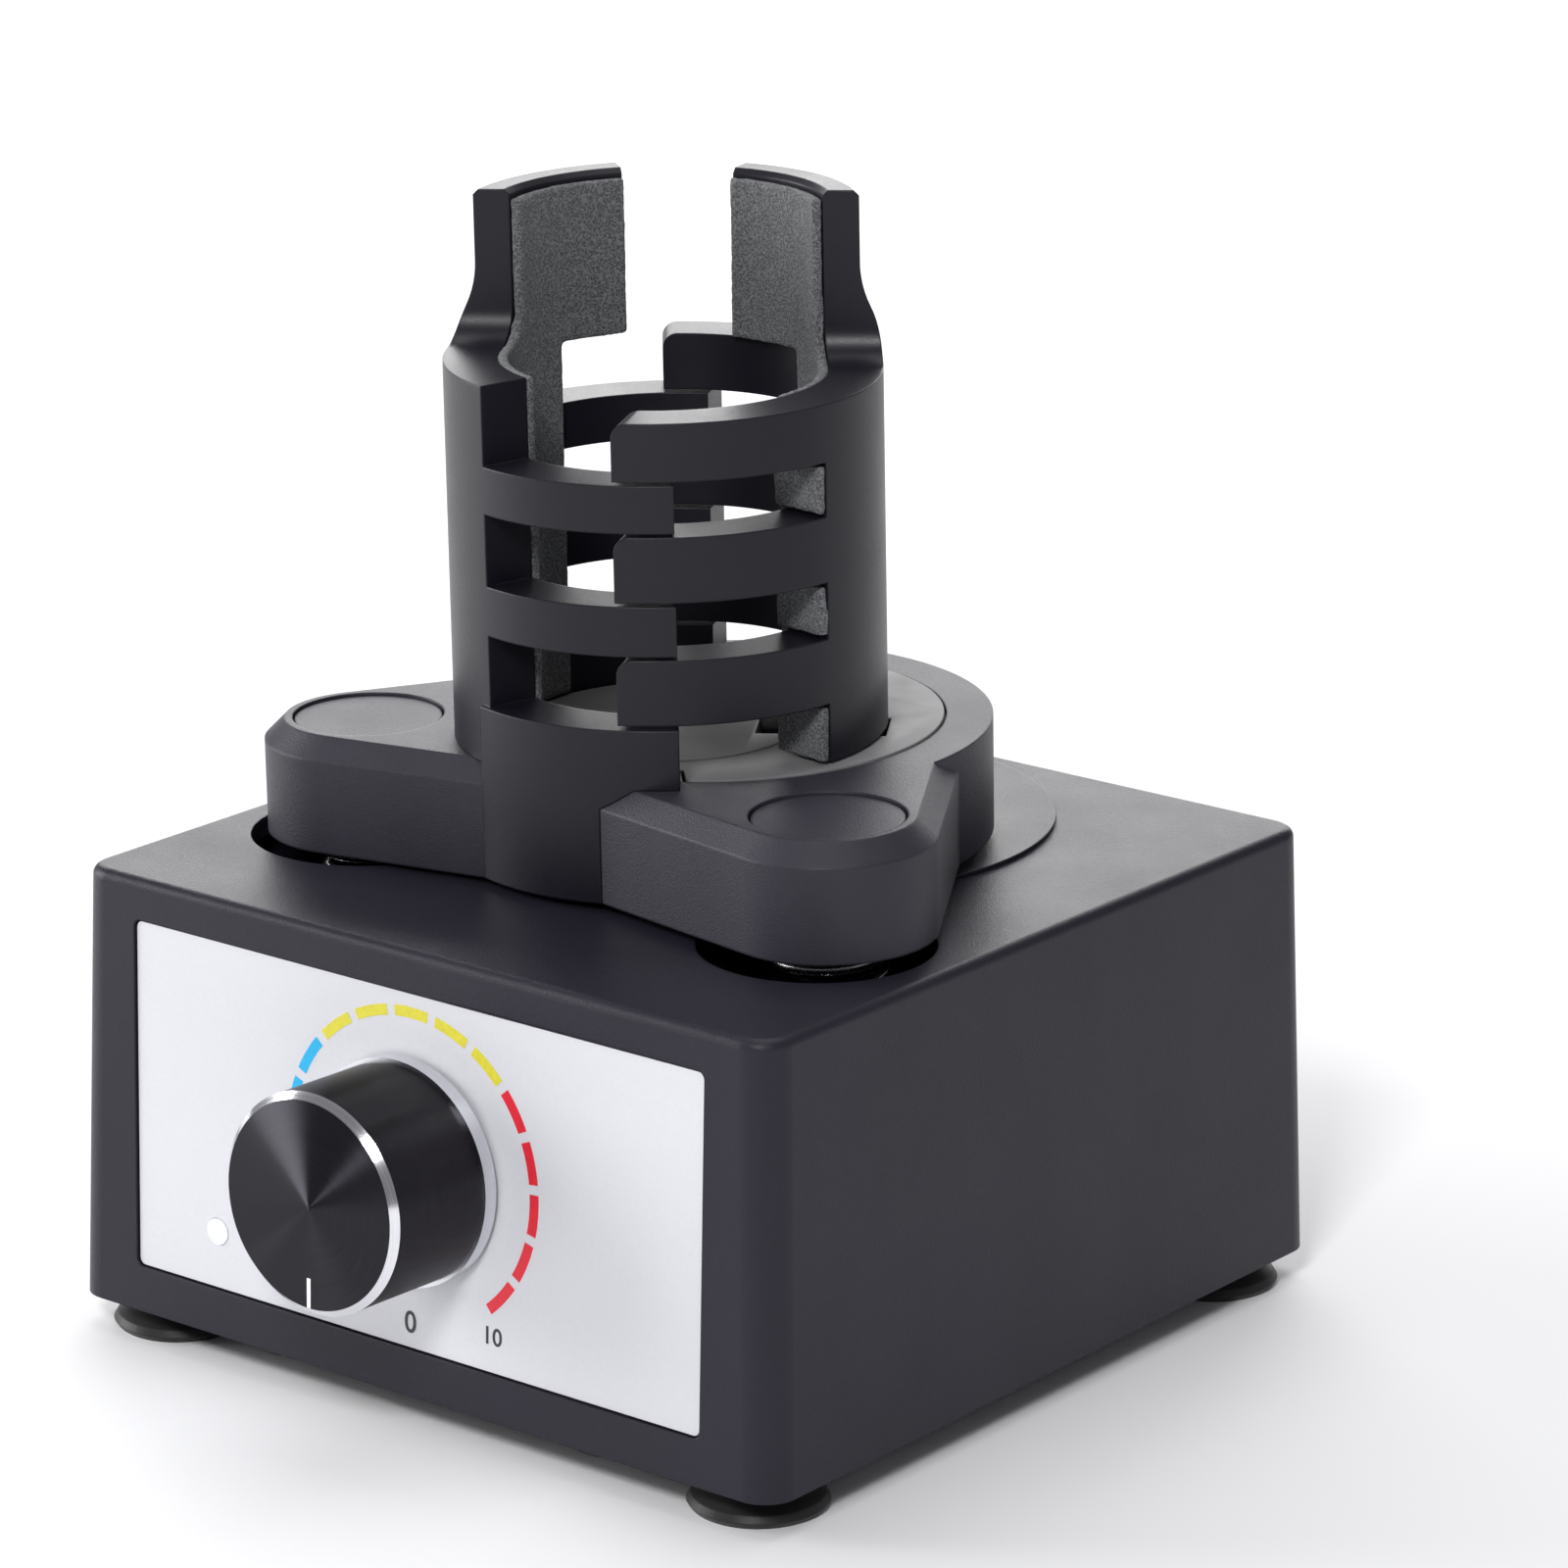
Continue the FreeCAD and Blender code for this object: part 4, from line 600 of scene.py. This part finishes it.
class SHAKER_OT_dial(bpy.types.Operator):
    """Models one dash of the scale and copies it round the knob in three colours"""

    bl_idname = "shaker.dial"
    bl_label = "Speed scale"

    def execute(self, context):
        sizes = context.scene.shaker_sizes
        colours = context.scene.shaker_colours
        clear_selection()
        width = sizes.dial_outer - sizes.dial_inner
        bpy.ops.mesh.primitive_plane_add(size=width, location=(0.0, 0.0, 0.0))
        dash = context.object
        pick(dash, lambda vertex: vertex.co.x > 0.0)
        bpy.ops.mesh.delete(type="VERT")
        bpy.ops.mesh.select_all(action="SELECT")
        middle = (sizes.dial_outer + sizes.dial_inner) / 2
        bpy.ops.transform.translate(value=(width / 2, middle, 0.0))
        bpy.ops.mesh.spin(steps=10, angle=sizes.dash_span, center=(0.0, 0.0, 0.0), axis=(0.0, 0.0, 1.0))
        bpy.ops.mesh.select_all(action="SELECT")
        bpy.ops.mesh.extrude_region_move(TRANSFORM_OT_translate={"value": (0.0, 0.0, sizes.print_thick)})
        bpy.ops.mesh.select_all(action="SELECT")
        bpy.ops.mesh.normals_make_consistent(inside=False)
        bpy.ops.object.mode_set(mode="OBJECT")

        points = [vertex.co for vertex in dash.data.vertices]
        centre = math.atan2(sum(point.x for point in points), sum(point.y for point in points))
        groups = (("dial_slow", -7, colours.slow), ("dial_middle", -2, colours.middle),
                  ("dial_fast", 3, colours.fast))
        for name, first, colour in groups:
            copies = []
            for step in range(5):
                clock = (first + step) * sizes.dash_pitch
                activate(dash)
                bpy.ops.object.duplicate(linked=False)
                copy = context.object
                copy.matrix_world = on_panel(0.0) @ Matrix.Rotation(centre - clock, 4, "Z")
                set_into_mesh(copy)
                copies.append(copy)
            clear_selection()
            for copy in copies:
                copy.select_set(True)
            context.view_layer.objects.active = copies[0]
            bpy.ops.object.join()
            group = context.object
            group.name = name
            dress(group, ink(name + "_ink", tuple(colour)), "base")
        bpy.data.objects.remove(dash)
        return {"FINISHED"}


class SHAKER_OT_numerals(bpy.types.Operator):
    """Sets plain numbers at the two ends of the scale"""

    bl_idname = "shaker.numerals"
    bl_label = "Numbers"

    def execute(self, context):
        sizes = context.scene.shaker_sizes
        black = ink("numeral_ink", (0.03, 0.03, 0.035))
        numerals = (("numeral_zero", "0", ZERO_PLACE, 1.0), ("numeral_ten", "10", TEN_PLACE, 0.8))
        for name, words, place, factor in numerals:
            clear_selection()
            bpy.ops.object.text_add(location=(0.0, 0.0, 0.0))
            label = context.object
            label.data.body = words
            label.data.align_x = "CENTER"
            label.data.align_y = "CENTER"
            label.data.size = sizes.numeral_high * factor * TEXT_PER_HEIGHT
            label.data.extrude = sizes.print_thick / 2
            label.data.offset = 0.00004
            label.data.resolution_u = 6
            label.name = name
            label.matrix_world = on_panel(sizes.print_thick / 2) @ Matrix.Translation((*place, 0.0))
            activate(label)
            bpy.ops.object.convert(target="MESH")
            label = context.object
            set_into_mesh(label)
            dress(label, black, "base")
        return {"FINISHED"}


class SHAKER_OT_knob_edge(bpy.types.Operator):
    """Adds the bright diamond-cut edge round the knob's face"""

    bl_idname = "shaker.knob_edge"
    bl_label = "Knob edge"

    def execute(self, context):
        sizes = context.scene.shaker_sizes
        clear_selection()
        skin = 0.02 * MM
        knob = frame["nodes"]["speed_knob"]
        reach = max((vertex.co - KNOB_POINT).dot(-KNOB_AXIS) for vertex in knob.data.vertices)
        bpy.ops.mesh.primitive_circle_add(vertices=192, radius=sizes.knob_radius + skin,
                                          fill_type="NOTHING", location=(0.0, 0.0, 0.0))
        edge = context.object
        edge.name = "knob_cut_edge"
        bpy.ops.object.mode_set(mode="EDIT")
        bpy.ops.mesh.select_all(action="SELECT")
        bpy.ops.mesh.extrude_region_move(TRANSFORM_OT_translate={"value": (0.0, 0.0, sizes.knob_bevel)})
        shrink = (sizes.knob_radius + skin - sizes.knob_bevel) / (sizes.knob_radius + skin)
        bpy.ops.transform.resize(value=(shrink, shrink, 1.0), center_override=(0.0, 0.0, sizes.knob_bevel))
        bpy.ops.mesh.select_all(action="SELECT")
        bpy.ops.mesh.subdivide(number_cuts=1)
        bpy.ops.mesh.normals_make_consistent(inside=False)
        bpy.ops.object.mode_set(mode="OBJECT")
        place = on_panel(0.0)
        place.translation = KNOB_POINT - KNOB_AXIS * (reach - sizes.knob_bevel)
        edge.matrix_world = place
        set_into_mesh(edge)
        bpy.ops.object.shade_smooth()
        dress(edge, turned_metal("diamond_cut", (0.80, 0.80, 0.84), 0.16, RING_SCALE, 0.000002, 0.5), "knob")
        return {"FINISHED"}


class SHAKER_OT_foam(bpy.types.Operator):
    """Models the two soft foam linings with open cells on their skin"""

    bl_idname = "shaker.foam"
    bl_label = "Foam linings"

    def execute(self, context):
        sizes = context.scene.shaker_sizes
        foam = open_foam("open_cell_foam", (0.085, 0.088, 0.092))
        cells = bpy.data.textures.new("foam_cells", "CLOUDS")
        cells.noise_scale = sizes.foam_cell
        cells.noise_depth = 2
        for node, name, body in (("foam_fixed", "foam_lining_fixed", "platform"),
                                 ("foam_sliding", "foam_lining_sliding", "jaw")):
            piece = fresh_copy(node, name)
            apply_modifier(piece, "REMESH", mode="VOXEL", voxel_size=0.38 * MM)
            apply_modifier(piece, "SMOOTH", factor=0.5, iterations=2)
            apply_modifier(piece, "DISPLACE", texture=cells, texture_coords="GLOBAL",
                           strength=sizes.foam_depth, mid_level=0.62)
            activate(piece)
            bpy.ops.object.shade_smooth()
            dress(piece, foam, body)
            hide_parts(node)
        return {"FINISHED"}


class SHAKER_OT_mat(bpy.types.Operator):
    """Models the rubber mat with a rounded, slightly worn edge"""

    bl_idname = "shaker.mat"
    bl_label = "Rubber mat"

    def execute(self, context):
        sizes = context.scene.shaker_sizes
        piece = fresh_copy("platform_mat", "mat_skin")
        bpy.ops.object.mode_set(mode="EDIT")
        bpy.ops.mesh.select_all(action="SELECT")
        bpy.ops.mesh.remove_doubles(threshold=0.000002)
        bpy.ops.mesh.dissolve_limited(angle_limit=math.radians(0.5))
        bpy.ops.object.mode_set(mode="OBJECT")
        apply_modifier(piece, "BEVEL", width=sizes.mat_edge, segments=3, limit_method="ANGLE",
                       angle_limit=math.radians(40.0), use_clamp_overlap=True)
        activate(piece)
        bpy.ops.object.shade_smooth_by_angle(angle=math.radians(30.0))
        colours = context.scene.shaker_colours
        skin = rubber("mat_rubber", tuple(colours.mat), 0.55, 2500.0, 0.000015)
        dress(piece, skin, "platform")
        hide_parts("platform_mat")
        return {"FINISHED"}


class SHAKER_OT_springs(bpy.types.Operator):
    """Models the two coil springs as smooth drawn wire"""

    bl_idname = "shaker.springs"
    bl_label = "Springs"

    def execute(self, context):
        wire = plain_metal("spring_wire", (0.5, 0.51, 0.53), 0.24, 3000.0, (1.0, 1.0, 0.2))
        for side in ("left", "right"):
            piece = fresh_copy("spring_" + side, "coil_" + side)
            bpy.ops.object.mode_set(mode="EDIT")
            bpy.ops.mesh.select_all(action="SELECT")
            bpy.ops.mesh.remove_doubles(threshold=0.000002)
            bpy.ops.object.mode_set(mode="OBJECT")
            bpy.ops.object.shade_smooth_by_angle(angle=math.radians(50.0))
            dress(piece, wire, "base")
            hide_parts("spring_" + side)
        return {"FINISHED"}


class SHAKER_PT_panel(bpy.types.Panel):
    bl_idname = "SHAKER_PT_panel"
    bl_label = "Bottle shaker"
    bl_space_type = "VIEW_3D"
    bl_region_type = "UI"
    bl_category = "Shaker"

    def draw(self, context):
        layout = self.layout
        for group in (context.scene.shaker_sizes, context.scene.shaker_colours):
            box = layout.box()
            for name in group.__annotations__:
                box.prop(group, name)
        column = layout.column(align=True)
        for operator in OPERATORS:
            column.operator(operator.bl_idname)


OPERATORS = (SHAKER_OT_camera, SHAKER_OT_stage, SHAKER_OT_finishes, SHAKER_OT_dial, SHAKER_OT_numerals,
             SHAKER_OT_knob_edge, SHAKER_OT_foam, SHAKER_OT_mat, SHAKER_OT_springs)
CLASSES = (ShakerSizes, ShakerColours) + OPERATORS + (SHAKER_PT_panel,)


def register():
    for kind in CLASSES:
        bpy.utils.register_class(kind)
    bpy.types.Scene.shaker_sizes = bpy.props.PointerProperty(type=ShakerSizes)
    bpy.types.Scene.shaker_colours = bpy.props.PointerProperty(type=ShakerColours)


def unregister():
    del bpy.types.Scene.shaker_sizes
    del bpy.types.Scene.shaker_colours
    for kind in reversed(CLASSES):
        bpy.utils.unregister_class(kind)


def main():
    register()
    for operator in OPERATORS:
        group, name = operator.bl_idname.split(".")
        getattr(getattr(bpy.ops, group), name)()


if __name__ == "__main__":
    main()
